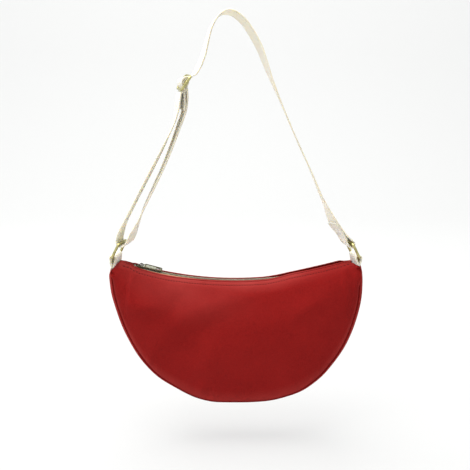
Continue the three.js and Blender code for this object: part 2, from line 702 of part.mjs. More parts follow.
add("strap_end_fold", flatWebbing(endFoldLine(), besideRun), webbingCream);

function returnLine() {
  const low = RETURN_START + RETURN_GAP;
  const high = runLength - FOLD_LENGTH - RETURN_GAP;
  const start = 2 * loopRadius;
  const places = [
    [low, start],
    [between(low, high, 0.14), start + RETURN_BELLY],
    [between(low, high, 0.5), between(start, returnOff, 0.5) + RETURN_BELLY * 0.9],
    [high, returnOff],
  ];
  const line = new THREE.SplineCurve(places.map((p) => flatPoint(...p)));
  return line.getSpacedPoints(18);
}

add("strap_return", flatWebbing(returnLine(), besideRun), webbingCream);

function adjusterFrame() {
  const bars = [[-ADJUSTER_PITCH, outerBarOff], [0, middleBarOff], [ADJUSTER_PITCH, outerBarOff]];
  const railMiddle = WEB_WIDTH / 2 + ADJUSTER_SIDE_PLAY + ADJUSTER_RAIL_THICKNESS / 2;
  const barSolids = bars.map(([along, off]) =>
    new THREE.CylinderGeometry(ADJUSTER_BAR, ADJUSTER_BAR, 2 * railMiddle, 10).translate(off, 0, along),
  );
  const bow = (along) => middleBarOff + (outerBarOff - middleBarOff) * (along / ADJUSTER_PITCH) ** 2;
  const reach = ADJUSTER_PITCH + ADJUSTER_RAIL / 2;
  const alongs = symmetric(reach, 10);
  const edge = (sign) => alongs.map((along) => flatPoint(bow(along) + (sign * ADJUSTER_RAIL) / 2, along));
  const rails = [-1, 1].map((side) => {
    const bottom = side * railMiddle - ADJUSTER_RAIL_THICKNESS / 2;
    const strip = new THREE.Shape([...edge(1), ...edge(-1).reverse()]);
    const plate = extruded(strip, ADJUSTER_RAIL_THICKNESS, bottom);
    return plate.rotateX(Math.PI / 2);
  });
  return joined([...barSolids, ...rails]);
}

const adjuster = new THREE.Group();
const adjusterAxes = webbingAxes(runUp, ADJUSTER_YAW);
const adjusterMatrix = new THREE.Matrix4().makeBasis(adjusterAxes.facing, adjusterAxes.sideways, runUp);
adjuster.applyMatrix4(adjusterMatrix.setPosition(besideRun(runLength, 0, 0)));
bag.add(adjuster);
add("strap_adjuster", adjusterFrame(), brass, adjuster);

// Where the joints turn and run
slider.updateMatrixWorld(true);
bag.userData.pivots = {
  leftHighBar: upright(leftBar.x, leftBar.y, 0),
  leftLowBar: upright(lowBar(-1).x, lowBar(-1).y, 0),
  rightHighBar: upright(rightBar.x, rightBar.y, 0),
  mouthChord: point(BODY_SHIFT, 0, -STRAP_DROP),
  zipCentre: point(BODY_SHIFT, 0, mouthRadius - MOUTH_SAG - STRAP_DROP),
  pullBar: slider.localToWorld(point(0, 0, pullHeight)),
  adjusterWay: runUp,
};

export default bag;
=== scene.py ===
"""A zipped half moon shoulder bag in red canvas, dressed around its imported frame.

Laid out as an add-on: the settings hold sizes and colours, the operators make the pieces and the stage.
Everything is in metres and in the frame's own axes: +X right, +Y to the back, +Z up.
"""

import json
import math

import bmesh
import bpy
import numpy as np
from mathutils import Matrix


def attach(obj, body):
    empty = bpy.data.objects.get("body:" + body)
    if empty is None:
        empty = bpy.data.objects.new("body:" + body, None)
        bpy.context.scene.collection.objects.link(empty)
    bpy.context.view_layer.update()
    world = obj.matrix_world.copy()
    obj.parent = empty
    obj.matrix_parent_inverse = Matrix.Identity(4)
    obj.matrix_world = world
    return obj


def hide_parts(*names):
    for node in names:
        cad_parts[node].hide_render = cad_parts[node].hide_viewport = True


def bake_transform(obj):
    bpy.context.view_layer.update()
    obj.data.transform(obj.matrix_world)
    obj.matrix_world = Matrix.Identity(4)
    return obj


bl_info = {
    "name": "Half moon bag",
    "version": (1, 0, 0),
    "blender": (4, 5, 0),
    "location": "3D View > Sidebar > Bag",
    "description": "Sews a zipped half moon bag with its webbing strap around a packed frame",
    "category": "Object",
}

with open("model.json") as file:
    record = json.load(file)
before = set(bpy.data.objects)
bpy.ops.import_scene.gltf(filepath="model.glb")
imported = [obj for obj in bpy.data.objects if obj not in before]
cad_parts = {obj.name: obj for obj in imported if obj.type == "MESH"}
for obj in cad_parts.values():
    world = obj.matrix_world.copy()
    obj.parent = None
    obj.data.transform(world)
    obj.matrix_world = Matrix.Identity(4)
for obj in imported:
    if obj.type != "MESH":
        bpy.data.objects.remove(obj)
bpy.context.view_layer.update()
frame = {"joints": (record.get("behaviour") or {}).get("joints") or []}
joints = {joint["name"]: joint for joint in frame["joints"]}
MM = 0.001
FRONT = -1
BACK = 1
FACE_NAMES = {FRONT: "front", BACK: "back"}
LEFT = -1
RIGHT = 1
END_NAMES = {LEFT: "left", RIGHT: "right"}


# Settings


def number(name, description, value, **options):
    """A number that the user can change."""
    return bpy.props.FloatProperty(name=name, description=description, default=value, **options)


def length(name, description, millimetres):
    """A length, given in millimetres."""
    return number(name, description, millimetres * MM, unit="LENGTH", subtype="DISTANCE", precision=4)


def angle(name, description, degrees):
    """An angle, given in degrees."""
    return number(name, description, math.radians(degrees), unit="ROTATION", subtype="ANGLE")


def share(name, description, value):
    """A share from 0 to 1."""
    return number(name, description, value, min=0, max=1, subtype="FACTOR")


def brightness(name, description, value, **options):
    """A brightness or power, zero or more."""
    return number(name, description, value, min=0, **options)


def colour(name, description, red, green, blue):
    """A colour that the user can change, given as on screen, 0 to 255."""
    default = linear(red, green, blue)
    return bpy.props.FloatVectorProperty(
        name=name, description=description, default=default, size=3, min=0, max=1, subtype="COLOR"
    )


def linear(red, green, blue):
    """A screen colour as the linear colour that shader sockets take."""
    shares = np.array([red, green, blue]) / 255
    curved = ((shares + 0.055) / 1.055) ** 2.4
    return tuple(float(v) for v in np.where(shares <= 0.04045, shares / 12.92, curved))


class BagCutSettings(bpy.types.PropertyGroup):
    """Sizes of the sewn body"""

    strap_drop: length("Strap drop", "Top of the strap to the line through the mouth's corners", 316)
    body_shift: length("Body shift", "Body centre beside the top of the strap", 8)
    body_width: length("Body width", "Widest part of the half moon", 343.6)
    body_drop: length("Body drop", "Line through the mouth's corners to the base", 201.3)
    widest_drop: length("Widest level", "Line through the mouth's corners to the widest level", 8.8)
    corner_pinch: length("Corner pinch", "How far the sides draw in at the corners", 1)
    gusset_base: length("Gusset at the base", "Width of the gusset under the bag", 60)
    gusset_end: length("Gusset at its ends", "Width of the gusset at the corners", 38)
    seam_inset: length("Seam inset", "Panel seams inside the gusset's crown", 4.6)
    side_inset: length("Seam inset at the sides", "How much further in the seam stands at the sides", 2.4)
    panel_swell: length("Panel swell", "How far a panel swells past its seams", 13)
    edge_ease: length("Edge ease", "How far the stuffed edge stands past the cut outline", 1.9)
    canvas: length("Canvas", "Thickness of the canvas", 0.7)
    lining: length("Lining", "Thickness of the lining", 0.4)
    mouth_sag: length("Mouth sag", "How far the mouth dips in its middle", 26)
    hem_corner_gap: length("Hem to gusset", "Hem end to the gusset's end", 12.8)
    hem_slope: angle("Hem slope", "Slope of the hems below level", 46)
    topstitch_drop: length("Topstitch", "Hem fold to the row of topstitching", 7.6)
    fold_depth: share("Soft folds", "How strongly the soft folds of the panels show", 1.0)


class ZipSettings(bpy.types.PropertyGroup):
    """Sizes of the zip"""

    margin: length("Zip margin", "Hem end to the end of the teeth", 20)
    tooth_pitch: length("Tooth pitch", "Distance between the teeth of a row", 2.5)
    tooth_height: length("Tooth height", "Height of the teeth", 2.2)
    tape_overhang: length("Tape overhang", "Tape beyond the last tooth", 9)
    slider_length: length("Slider length", "Length of the slider", 11)
    slider_width: length("Slider width", "Width of the slider at its mouth", 8.6)
    slider_tail: length("Slider tail", "Width of the slider at its tail", 6.4)
    pull_length: length("Pull length", "Bail to the end of the pull", 29)
    pull_width: length("Pull width", "Width of the pull", 8)


class StrapSettings(bpy.types.PropertyGroup):
    """Sizes of the strap, its rings and its adjuster"""

    width: length("Webbing width", "Width of the webbing", 25)
    thickness: length("Webbing thickness", "Thickness of the webbing", 2.1)
    wire: length("Ring wire", "Diameter of the ring wire", 3.6)
    ring_width: length("Ring width", "Between the middles of the ring's short sides", 30.4)
    ring_corner: length("Ring corner", "Radius of the ring's corners", 4.5)
    ring_yaw: angle("Ring yaw", "How far the rings turn from square, their far sides towards the middle", 8)
    adjuster_width: length("Adjuster width", "Between the middles of the adjuster's rails", 29.5)
    adjuster_pitch: length("Adjuster pitch", "Middle bar to outer bar", 10)
    adjuster_wire: length("Adjuster wire", "Diameter of the adjuster's bars", 2.9)
    adjuster_rail: length("Adjuster rail", "Diameter of the adjuster's rails", 3.6)
    adjuster_lean: angle("Adjuster lean", "How far the adjuster leans out of the strap's line", 10.8)
    adjuster_yaw: angle("Adjuster yaw", "How far the adjuster and the strap in it turn from square", 20)
    right_lean: angle("Right lean", "Lean of the strap over the right ring", 37)


class FinishSettings(bpy.types.PropertyGroup):
    """Colours of the finishes"""

    canvas: colour("Canvas", "Red cotton canvas", 135, 12, 11)
    canvas_worn: colour("Canvas, worn", "Canvas where it has been handled", 146, 19, 17)
    # pale canvas: painted sheen and highlight where light falls on the hems, the seam rims and the front's
    # upper left, and partly cloth worn pale there
    canvas_wear_and_sheen: colour("Canvas, worn and painted sheen", "Canvas on hems and seams and at the zip's start", 172, 64, 60)
    canvas_thread: colour("Canvas thread", "Topstitching", 72, 6, 7)
    lining: colour("Lining", "Cotton lining", 205, 184, 148)
    webbing: colour("Webbing", "Cotton webbing", 238, 234, 221)
    webbing_edge: colour("Webbing edge", "Selvedge of the webbing", 230, 220, 196)
    webbing_thread: colour("Webbing thread", "Stitching of the webbing", 226, 219, 200)
    tape: colour("Zip tape", "Woven zip tape", 202, 168, 128)
    brass: colour("Brass", "Rings and adjuster", 200, 193, 138)
    brass_tarnish: colour("Brass, tarnished", "Darker patches of the brass", 150, 144, 92)
    aged_brass: colour("Aged brass", "Flat of the zip pull, and the teeth", 166, 168, 154)
    aged_brass_tarnish: colour("Aged brass, tarnished", "Patina on the pull's flat", 112, 111, 94)
    dark_brass: colour("Dark brass", "Slider, and the pull's rim", 92, 86, 64)
    dark_brass_tarnish: colour("Dark brass, tarnished", "Dark patina of the slider", 40, 36, 25)


class StageSettings(bpy.types.PropertyGroup):
    """The stage around the bag"""

    floor_drop: length("Floor", "Top of the strap down to the floor", 595)
    floor: colour("Floor", "Pale floor and backdrop", 247, 248, 248)
    floor_shade: colour("Floor, lit", "What the floor throws back on the bag", 204, 204, 202)
    glow: share("Backdrop glow", "How much of the floor's shade is evened out for the camera", 0.64)
    floor_glow: brightness("Floor glow", "Brightness of the evened floor near the bag", 1.08)
    wall_glow: brightness("Wall glow", "Brightness of the evened floor further off and of the backdrop", 1.17)
    lamp_power: brightness("Lamp", "Power of the soft lamp overhead", 99, unit="POWER")
    fill: brightness("Fill", "Strength of the even light from the front and above", 0.4)
    window: brightness("Window", "More light from high on the left", 0.62)
    side_fill: brightness("Side light", "Strength of the even light from both sides", 0.9)


# Shares, curves and directions

# how steep a curve may run at a knot, as a multiple of the slower of the two stretches beside it
STEEPEST = 1.6


def smooth(value):
    """A soft step from 0 to 1."""
    value = np.clip(value, 0, 1)
    return value * value * (3 - 2 * value)


def between(low, high, value):
    """The point at a share of the way from low to high."""
    return low + (high - low) * value


def signed_power(value, power):
    """A power that keeps the sign."""
    return np.sign(value) * np.abs(value) ** power


def unit(vectors):
    """Vectors of length 1."""
    return vectors / np.linalg.norm(vectors, axis=-1, keepdims=True)


def travelled(points):
    """The distance along a line of points, from its first point."""
    steps = np.linalg.norm(np.diff(points[:, :3], axis=0), axis=1)
    return np.concatenate([[0], np.cumsum(steps)])


def through(controls, knots, places):
    """Smooth curves through rows of control values at uneven knots, read at other places."""
    spread = (slice(None),) + (None,) * (controls.ndim - 1)
    slopes = np.gradient(controls, knots, axis=0)
    pace = np.linalg.norm(np.diff(controls, axis=0), axis=-1) / np.diff(knots)[spread[:-1]]
    slower = np.minimum(np.concatenate([pace[:1], pace]), np.concatenate([pace, pace[-1:]]))
    steep = np.linalg.norm(slopes, axis=-1)
    slopes = slopes * np.minimum(1, STEEPEST * slower / np.maximum(steep, 1e-9))[..., None]
    i = np.clip(np.searchsorted(knots, places, side="right") - 1, 0, len(knots) - 2)
    step = (knots[i + 1] - knots[i])[spread]
    t = ((places - knots[i]) / (knots[i + 1] - knots[i]))[spread]
    return (
        controls[i] * (1 + 2 * t) * (1 - t) ** 2
        + controls[i + 1] * t**2 * (3 - 2 * t)
        + slopes[i] * step * t * (1 - t) ** 2
        + slopes[i + 1] * step * t**2 * (t - 1)
    )


def read_along(at, knots, rows):
    """Rows of x, y and z read at places along their knots, straight from knot to knot."""
    return np.stack([np.interp(at, knots, rows[:, n]) for n in range(3)], axis=-1)


def level_across(turn, ahead):
    """The level directions across a line, turned by a yaw and made square to the line."""
    level = np.stack([-np.sin(turn), np.cos(turn), 0 * turn], axis=-1)
    return unit(level - ahead * np.sum(level * ahead, axis=-1, keepdims=True))


def joint_place(name):
    """Where a joint of the frame sits."""
    return np.array(joints[name]["pos_m"], float)


# The shape of the body

CORNER_ANGLE = 92
PINCH_ANGLE = 15
SIDE_POWER = 2.65
BASE_POWER_LEFT = 1.71
BASE_POWER_RIGHT = 2.23
# the ends of the seams and of the gusset, and the hems' slopes there, on the left and on the right
SEAM_ANGLES = (90.0, 91.6)
GUSSET_ANGLES = (91.0, 92.4)
END_SLOPES = (30, 8)
END_EASE = 23 * MM
END_LEAN = 0.72
# half of the gap between the hems: x from the body's centre and distance, in mm
MOUTH_GAP = [
    (-158, 0.9), (-144, 0.9), (-138, 5.0), (-120, 5.4), (-90, 5.6), (-50, 5.2),
    (20, 5.2), (75, 4.4), (112, 4.8), (143, 4.6), (151, 0.9), (158, 0.9),
]
# how far each lip of the mouth stands over the zip: x from the body's centre and height, in mm
FRONT_RISE = [
    (-158, 2.8), (-150, 3.8), (-141, 2.8), (-130, 1.0), (-96, 0.3), (-70, 0.7), (-40, 1.2), (40, 1.4),
    (58, 3.0), (78, 5.7), (112, 6.6), (141, 6.4), (148, 5.2), (153, 3.4), (158, 0.6),
]
BACK_RISE = [
    (-158, 3.0), (-150, 4.2), (-140, 3.8), (-125, 2.2), (-95, 1.9), (-60, 1.8), (-20, 1.7), (35, 1.9),
    (55, 3.1), (78, 5.3), (112, 6.5), (141, 6.3), (148, 5.0), (153, 3.4), (158, 0.6),
]
# the hem's cloth below its fold: how far down and how far in, in mm; the crease is by the topstitching
HEM_TURNED_IN = (9, 6.5, 4, 1.8)
HEM_BAND = [(1.4, -0.1), (1.9, 0.2), (2.3, 0.45), (2.7, 0.2), (3.3, -0.15), (4.8, -0.3), (6.2, -0.1)]
HEM_CREASE = [(-0.75, 0.05), (-0.35, 0.18), (0, 0.26), (0.35, 0.18), (0.8, 0.0), (1.6, -0.1)]
HEM_RIPPLE = 0.12 * MM
EDGE_STITCH = 2.3 * MM
# where the panel starts below the fold, and the shares of the way from there to the seam that shape it
PANEL_START = 11.2 * MM
PANEL_SHARES = [0.04, 0.09, 0.16, 0.25, 0.35, 0.45, 0.55, 0.65, 0.75, 0.84, 0.9, 0.95, 0.98, 1]
# how the swell dies away towards the corners, and how it leans to the hem
SWELL_ENDS = 0.7
SWELL_LEAN = 0.75
# over which shares of a panel its soft folds fade in below the hem and out above the seam
FOLDS_START = 0.16
FOLDS_END = 0.1
BASE_FOLDS_END = 0.03
# where the base's own fading takes over and where the seam's puckers start, each with its spread
BASE_FROM = (0.8, 0.15)
PUCKER_FROM = (0.86, 0.1)
PUCKER_DEPTH = 0.3 * MM
# slight waves of the cloth: height, lengths along x and z in mm, and shift by side
CLOTH_WAVES = [(0.35, 17, 29, 1), (0.3, 31, -19, 2)]
SEAM_LIP = 1.6 * MM
CORNER_LIP = 3.2 * MM
CORNER_DRAW = 0.8 * MM
CORNER_UNROLL = 0.6
# degrees from the base where the sides' inset starts and ends and the groove runs out, each with its spread
SIDE_INSET_START = (6, 26)
SIDE_INSET_END = (92, 8)
GROOVE_END = (84.5, 5)
# edge bulges of the stuffed bag: angle from the base, spread in degrees, height in mm
EDGE_BULGES = [
    (26, 9, 2.5), (13, 5, 0.6), (-23, 9, -2.3), (68, 16, 1.0), (81, 8, 1.4), (-44, 12, 0.5), (-79, 8, 0.4),
    (-87.5, 3, 0.8), (38, 8, 1.2), (62, 20, 1.0), (-58, 20, 1.1), (-93, 5, -3.4), (93.5, 3.4, -3.2),
    (-6, 3, 0.5),
]
# the seam's roll: in from the panel's lip towards the edge, and in from its face, in mm
LIP_ROLL = [(0.75, 0.12), (1.25, 0.6), (1.5, 1.3), (1.6, 2.3), (1.4, 3.6)]
# the gusset's edges turn in beside the panels' lips: how far in from the crown and from the edge, in mm
GUSSET_TURNED_IN = [(3.3, 1.5), (3.9, 2.1), (4.6, 2.9), (6.2, 3.8)]
# the gusset's ends fold over into the corners: how far inwards and up, in mm
GUSSET_FOLD = [
    (0.5, -0.2), (1.2, -1.0), (2.2, -2.6), (3.6, -4.6), (5.4, -7), (7.5, -9.6), (10, -12.5), (13, -16),
]
GUSSET_FOLD_WIDTH = 0.45
GUSSET_EDGE = 1.1 * MM
GUSSET_ROUNDING = 2.6 * MM
GUSSET_COLUMNS = 171
GUSSET_ROWS = 35
PANEL_ROWS = 84
HALF_COLUMNS = 96
MIDDLE_COLUMNS = 18

# parts that the mouth's cloth is laid in, by columns of the panels
MOUTH_PARTS = {
    "left_end": (0, HALF_COLUMNS - MIDDLE_COLUMNS),
    "left_middle": (HALF_COLUMNS - MIDDLE_COLUMNS, HALF_COLUMNS),
    "right_middle": (HALF_COLUMNS, HALF_COLUMNS + MIDDLE_COLUMNS),
    "right_end": (HALF_COLUMNS + MIDDLE_COLUMNS, 2 * HALF_COLUMNS),
}

# soft folds of a panel: x and height of the middle, lean in degrees, half length, half width, height, in mm
FRONT_FOLDS = [
    (-42, -377, 24, 46, 19, 5.0),
    (-116, -370, -8, 28, 14, 4.2),
    (-78, -376, 62, 30, 12, -1.8),
    (6, -386, 30, 48, 18, -1.1),
    (72, -347, 12, 50, 9, 1.2),
    (104, -372, 34, 36, 13, 2.6),
    (96, -392, -34, 40, 14, -1.0),
    (-104, -430, 60, 42, 15, 2.6),
    (-60, -428, 40, 40, 18, -1.2),
    (-30, -446, 64, 36, 14, 2.0),
    (112, -440, -58, 36, 14, 2.0),
    (-28, -502, 82, 16, 5, -1.6),
    (-44, -498, 66, 16, 6, 1.0),
    (16, -505, 94, 17, 4.5, -1.5),
    (104, -488, 130, 17, 6, -1.2),
    (-92, -490, 48, 16, 5, -1.0),
]
BACK_FOLDS = [
    (52, -390, -28, 46, 16, 1.4),
    (116, -366, 26, 32, 13, 1.1),
    (-6, -368, -34, 44, 13, -0.9),
    (-84, -378, 34, 44, 16, 1.0),
    (-30, -446, 6, 58, 24, 0.8),
    (98, -440, -52, 36, 15, 0.8),
    (40, -504, 88, 15, 4.5, -1.2),
    (-54, -500, 70, 15, 5, -1.1),
]


class BodyShape:
    """The half moon's outline, its mouth and the faces of its cloth."""

    def __init__(self, cut):
        self.cut = cut
        self.hem_half = cut.body_width / 2 - cut.corner_pinch - cut.hem_corner_gap
        self.mouth_radius = (self.hem_half**2 + cut.mouth_sag**2) / (2 * cut.mouth_sag)

    def outline(self, degrees, inset):
        """Points x, z of the half moon, by the angle from its base, drawn in by an inset."""
        cut = self.cut
        degrees = np.asarray(degrees, float)
        inset = inset - self.edge_stand(degrees)
        pinched = smooth((np.abs(degrees) - CORNER_ANGLE + PINCH_ANGLE) / PINCH_ANGLE)
        half = cut.body_width / 2 - inset - cut.corner_pinch * pinched
        rise = np.cos(np.radians(degrees))
        fullness = np.where(degrees < 0, BASE_POWER_LEFT, BASE_POWER_RIGHT)
        power = np.where(rise < 0, 1, 2 / fullness)
        height = cut.body_drop - cut.widest_drop - inset
        x = cut.body_shift + half * signed_power(np.sin(np.radians(degrees)), 2 / SIDE_POWER)
        z = -cut.strap_drop - cut.widest_drop - height * signed_power(rise, power)
        return x, z

    def edge_stand(self, degrees):
        """How far the stuffed edge stands past the cut outline."""
        stand = np.full(np.shape(degrees), self.cut.edge_ease)
        for middle, spread, height in EDGE_BULGES:
            stand = stand + height * MM * np.exp(-(((degrees - middle) / spread) ** 2))
        return stand

    def gusset_half(self, degrees):
        """Half the gusset's width round the half moon."""
        wide = np.cos(np.radians(np.asarray(degrees) * 90 / CORNER_ANGLE)) ** 2
        return between(self.cut.gusset_end, self.cut.gusset_base, wide) / 2

    def mouth_height(self, x):
        """Height of the zip's line, x from the body's centre."""
        dip = np.sqrt(self.mouth_radius**2 - np.asarray(x) ** 2)
        return self.mouth_radius - self.cut.mouth_sag - dip - self.cut.strap_drop

    def along_mouth(self, table, x):
        """A distance that changes along the mouth, from a short table in millimetres."""
        knots, values = np.array(table, float).T * MM
        return through(values[:, None], knots, np.ravel(x))[:, 0].reshape(np.shape(x))

    def hem_slope(self, x):
        """The hems' slope below level, which eases at their ends."""
        end_slope = np.radians(np.where(np.asarray(x) < 0, *END_SLOPES))
        return between(self.cut.hem_slope, end_slope, self.near_end(x))

    def near_end(self, x):
        """How near a place along the mouth is to an end of the hems, as a soft step."""
        return smooth((np.abs(x) - self.hem_half + END_EASE) / END_EASE)

    def seam_end(self, around, ends):
        """Angles round the half moon from shares of the way to its ends."""
        return around * np.where(np.asarray(around) < 0, *ends)

    def side_inset(self, degrees):
        """How much further in the seam stands along the sides than at the base."""
        start, ease_in = SIDE_INSET_START
        end, ease_out = SIDE_INSET_END
        reach = np.abs(degrees)
        return self.cut.side_inset * smooth((reach - start) / ease_in) * smooth((end - reach) / ease_out)

    def panel_lip(self, around, outwards=0, back=0):
        """x, distance from the middle and z of a panel's lip, rolled outwards to the edge and back."""
        degrees = self.seam_end(around, SEAM_ANGLES)
        start, spread = GROOVE_END
        run_out = smooth((np.abs(degrees) - start) / spread)
        inset = self.cut.seam_inset + self.side_inset(degrees) + SEAM_LIP
        inset = between(inset, CORNER_LIP, run_out) - outwards * (1 - CORNER_UNROLL * run_out)
        x, z = self.outline(degrees, inset)
        return x, self.gusset_half(degrees) - CORNER_DRAW * run_out - back, z

    def hem_point(self, side, x, down, inwards):
        """Points of a hem: x from the body's centre, down from the fold and in from the outer face."""
        x = np.asarray(x, float)
        slope = self.hem_slope(x)
        fold = self.along_mouth(MOUTH_GAP, x)
        rise = self.along_mouth(FRONT_RISE if side == FRONT else BACK_RISE, x)
        lean = np.sign(x) * END_LEAN * self.near_end(x)
        y = fold + down * np.cos(slope) - inwards * np.sin(slope)
        z = self.mouth_height(x) + rise - down * np.sin(slope) - inwards * np.cos(slope)
        return np.stack([self.cut.body_shift + x + lean * down, side * y, z], axis=-1)

    def part_span(self, part, reach):
        """Where a part of the mouth starts and ends, from the centre; the mouth's ends are at the reach."""
        columns = np.array(MOUTH_PARTS[part])
        x = self.hem_half * np.sin((columns / HALF_COLUMNS - 1) * np.pi / 2)
        return np.where(np.abs(x) < self.hem_half - 1 * MM, x, np.sign(x) * reach)

    def hem_normal(self, side, x):
        """The outward directions of a hem's face."""
        slope = self.hem_slope(np.asarray(x, float))
        return np.stack([0 * slope, side * np.sin(slope), np.cos(slope)], axis=-1)

    def panel_rows(self, side, around, shares):
        """Rows of points of a panel's face below its hem, at shares of the way from hem to seam."""
        x = self.hem_half * np.sin(around * np.pi / 2)
        top = self.hem_point(side, x, PANEL_START, 0)
        seam_x, half, seam_z = self.panel_lip(around)
        rows = []
        for v in shares:
            swell = self.cut.panel_swell * (1 - around**2) ** SWELL_ENDS * math.sin(math.pi * v**SWELL_LEAN)
            out = between(np.abs(top[:, 1]), half, v) + swell
            row = [between(top[:, 0], seam_x, v), side * out, between(top[:, 2], seam_z, v)]
            rows.append(np.stack(row, axis=-1))
        return np.array(rows)

    def soft_folds(self, side, grid):
        """How far the soft folds lift a panel's face at each point of its grid."""
        x = grid[..., 0] / MM
        z = grid[..., 2] / MM
        lift = 0
        for height, along, down, shift in CLOTH_WAVES:
            lift = lift + height * np.sin(x / along + z / down + shift * side)
        folds = FRONT_FOLDS if side == FRONT else BACK_FOLDS
        for mid_x, mid_z, lean, half_length, half_width, height in folds:
            turn = math.radians(lean)
            along = (x - mid_x) * math.cos(turn) + (z - mid_z) * math.sin(turn)
            across = (z - mid_z) * math.cos(turn) - (x - mid_x) * math.sin(turn)
            lift = lift + height * np.exp(-((along / half_length) ** 2) - (across / half_width) ** 2)
        return lift * self.cut.fold_depth * MM

    def canvas_grid(self, side):
        """A panel's cloth with its turned-in hem: rows from inside the hem to inside the seam, by columns."""
        around = np.linspace(-1, 1, 2 * HALF_COLUMNS + 1)
        x = self.hem_half * np.sin(around * np.pi / 2)
        layer = self.cut.canvas
        stitch = self.cut.topstitch_drop
        ripple = HEM_RIPPLE * np.sin(x / MM * 0.9) * np.sin(x / MM * 0.23 + 1)
        turned_in = [(down * MM, 2 * layer) for down in HEM_TURNED_IN]
        fold = [
            (layer * (1 - math.cos(turn)), layer * (1 + math.sin(turn)))
            for turn in np.radians([90, 60, 30, 0, -30, -60, -90])
        ]
        outer = [(down * MM, inwards * MM) for down, inwards in HEM_BAND]
        outer += [(stitch + down * MM, inwards * MM) for down, inwards in HEM_CREASE]
        hem = [self.hem_point(side, x, down, inwards + ripple) for down, inwards in turned_in + fold + outer]
        panel = self.panel_rows(side, around, np.array(PANEL_SHARES))
        shared = 5
        controls = np.concatenate([np.array(hem[-shared:]), panel])
        knots = travelled(controls[:, HALF_COLUMNS])
        start = knots[shared - 1]
        places = start + (knots[-1] - start) * np.linspace(0, 1, PANEL_ROWS + 1)[1:] ** 1.05
        face = through(controls, knots, places)
        down = ((places - start) / (knots[-1] - start))[:, None]
        open_cloth, base_cloth = (
            smooth(down / FOLDS_START) * smooth((1 - down) / fade) * (1 - around**8)
            for fade in (FOLDS_END, BASE_FOLDS_END)
        )
        lift = self.soft_folds(side, face)
        start, spread = BASE_FROM
        face[..., 1] += side * lift * between(open_cloth, base_cloth, smooth((down - start) / spread))
        pucker = np.sin(around * 71 + side) * np.sin(around * 27 + 2) + 0.6 * np.sin(around * 113)
        start, spread = PUCKER_FROM
        at_seam = smooth((down - start) / spread) * smooth((1 - down) / BASE_FOLDS_END)
        face[..., 1] -= side * PUCKER_DEPTH * pucker * at_seam
        tucks = []
        for outwards, back in LIP_ROLL:
            seam_x, half, seam_z = self.panel_lip(around, outwards * MM, back * MM)
            tucks.append(np.stack([seam_x, side * half, seam_z], axis=-1))
        return np.concatenate([np.array(hem), face, np.array(tucks)])

    def gusset_grid(self):
        """The gusset's outer face: rows across from seam to seam, by columns round the bag."""
        around = np.linspace(-1, 1, GUSSET_COLUMNS)
        degrees = self.seam_end(around, GUSSET_ANGLES)
        seams = self.seam_end(around, SEAM_ANGLES)
        across = np.sin(np.radians(np.linspace(-90, 90, GUSSET_ROWS)))
        ripple = 0.4 * np.sin(degrees / 7.1) * np.sin(degrees / 3.7 + 1) + 0.2 * np.sin(degrees / 2.3)
        rows = []
        for a in across:
            reach = between(degrees, seams, a**4)
            rounding = GUSSET_ROUNDING * abs(a) ** 5 + self.side_inset(reach) * abs(a) ** 9
            x, z = self.outline(reach, rounding + ripple * MM * (1 - a**2) * 0.8)
            rows.append(np.stack([x, a * (self.gusset_half(reach) - GUSSET_EDGE), z], axis=-1))
        for inset, back in GUSSET_TURNED_IN:
            x, z = self.outline(seams, inset * MM + self.side_inset(seams) * 0.9)
            for a in (-1, 1):
                row = np.stack([x, a * (self.gusset_half(seams) - back * MM), z], axis=-1)
                rows = [row, *rows] if a < 0 else [*rows, row]
        body = np.array(rows)
        ends = [self.gusset_fold(body[:, 0], LEFT)[:, ::-1], body, self.gusset_fold(body[:, -1], RIGHT)]
        return np.concatenate(ends, axis=1)

    def gusset_fold(self, edge, end):
        """The gusset's end, folded over and down inside the corner."""
        columns = []
        for inwards, up in GUSSET_FOLD:
            column = edge.copy()
            column[:, 0] -= end * inwards * MM
            column[:, 2] += up * MM
            column[:, 1] *= between(1, GUSSET_FOLD_WIDTH, smooth(inwards / 5))
            columns.append(column)
        return np.stack(columns, axis=1)


# Meshes


def grid_faces(rows, columns, flip=False):
    """Faces between neighbouring points of a grid."""
    corner = (np.arange(rows - 1)[:, None] * columns + np.arange(columns - 1)).ravel()
    faces = np.stack([corner, corner + 1, corner + columns + 1, corner + columns], axis=-1)
    return faces[:, ::-1] if flip else faces


def grid_normals(grid):
    """The directions square to a grid's face."""
    return unit(np.cross(np.gradient(grid, axis=1), np.gradient(grid, axis=0)))


def ring_faces(count, sides, endless=False, caps=(True, True)):
    """Faces between rings of points in a row, joined end to end or with caps at the ends."""
    ring, side = np.meshgrid(np.arange(count if endless else count - 1), np.arange(sides), indexing="ij")
    near = ring * sides
    far = (ring + 1) % count * sides
    after = (side + 1) % sides
    faces = np.stack([near + side, near + after, far + after, far + side], axis=-1).reshape(-1, 4).tolist()
    if caps[0] and not endless:
        faces.append(list(range(sides))[::-1])
    if caps[1] and not endless:
        faces.append([(count - 1) * sides + n for n in range(sides)])
    return faces


def repeated_faces(faces, points, copies):
    """The faces of one shape, for copies of its points one after another."""
    return [[copy * points + n for n in face] for copy in range(copies) for face in faces]


def linked(name, data, finish=None):
    """An object of the scene from its data, with its finish."""
    piece = bpy.data.objects.new(name, data)
    bpy.context.scene.collection.objects.link(piece)
    if finish is not None:
        data.materials.append(finish)
    return piece


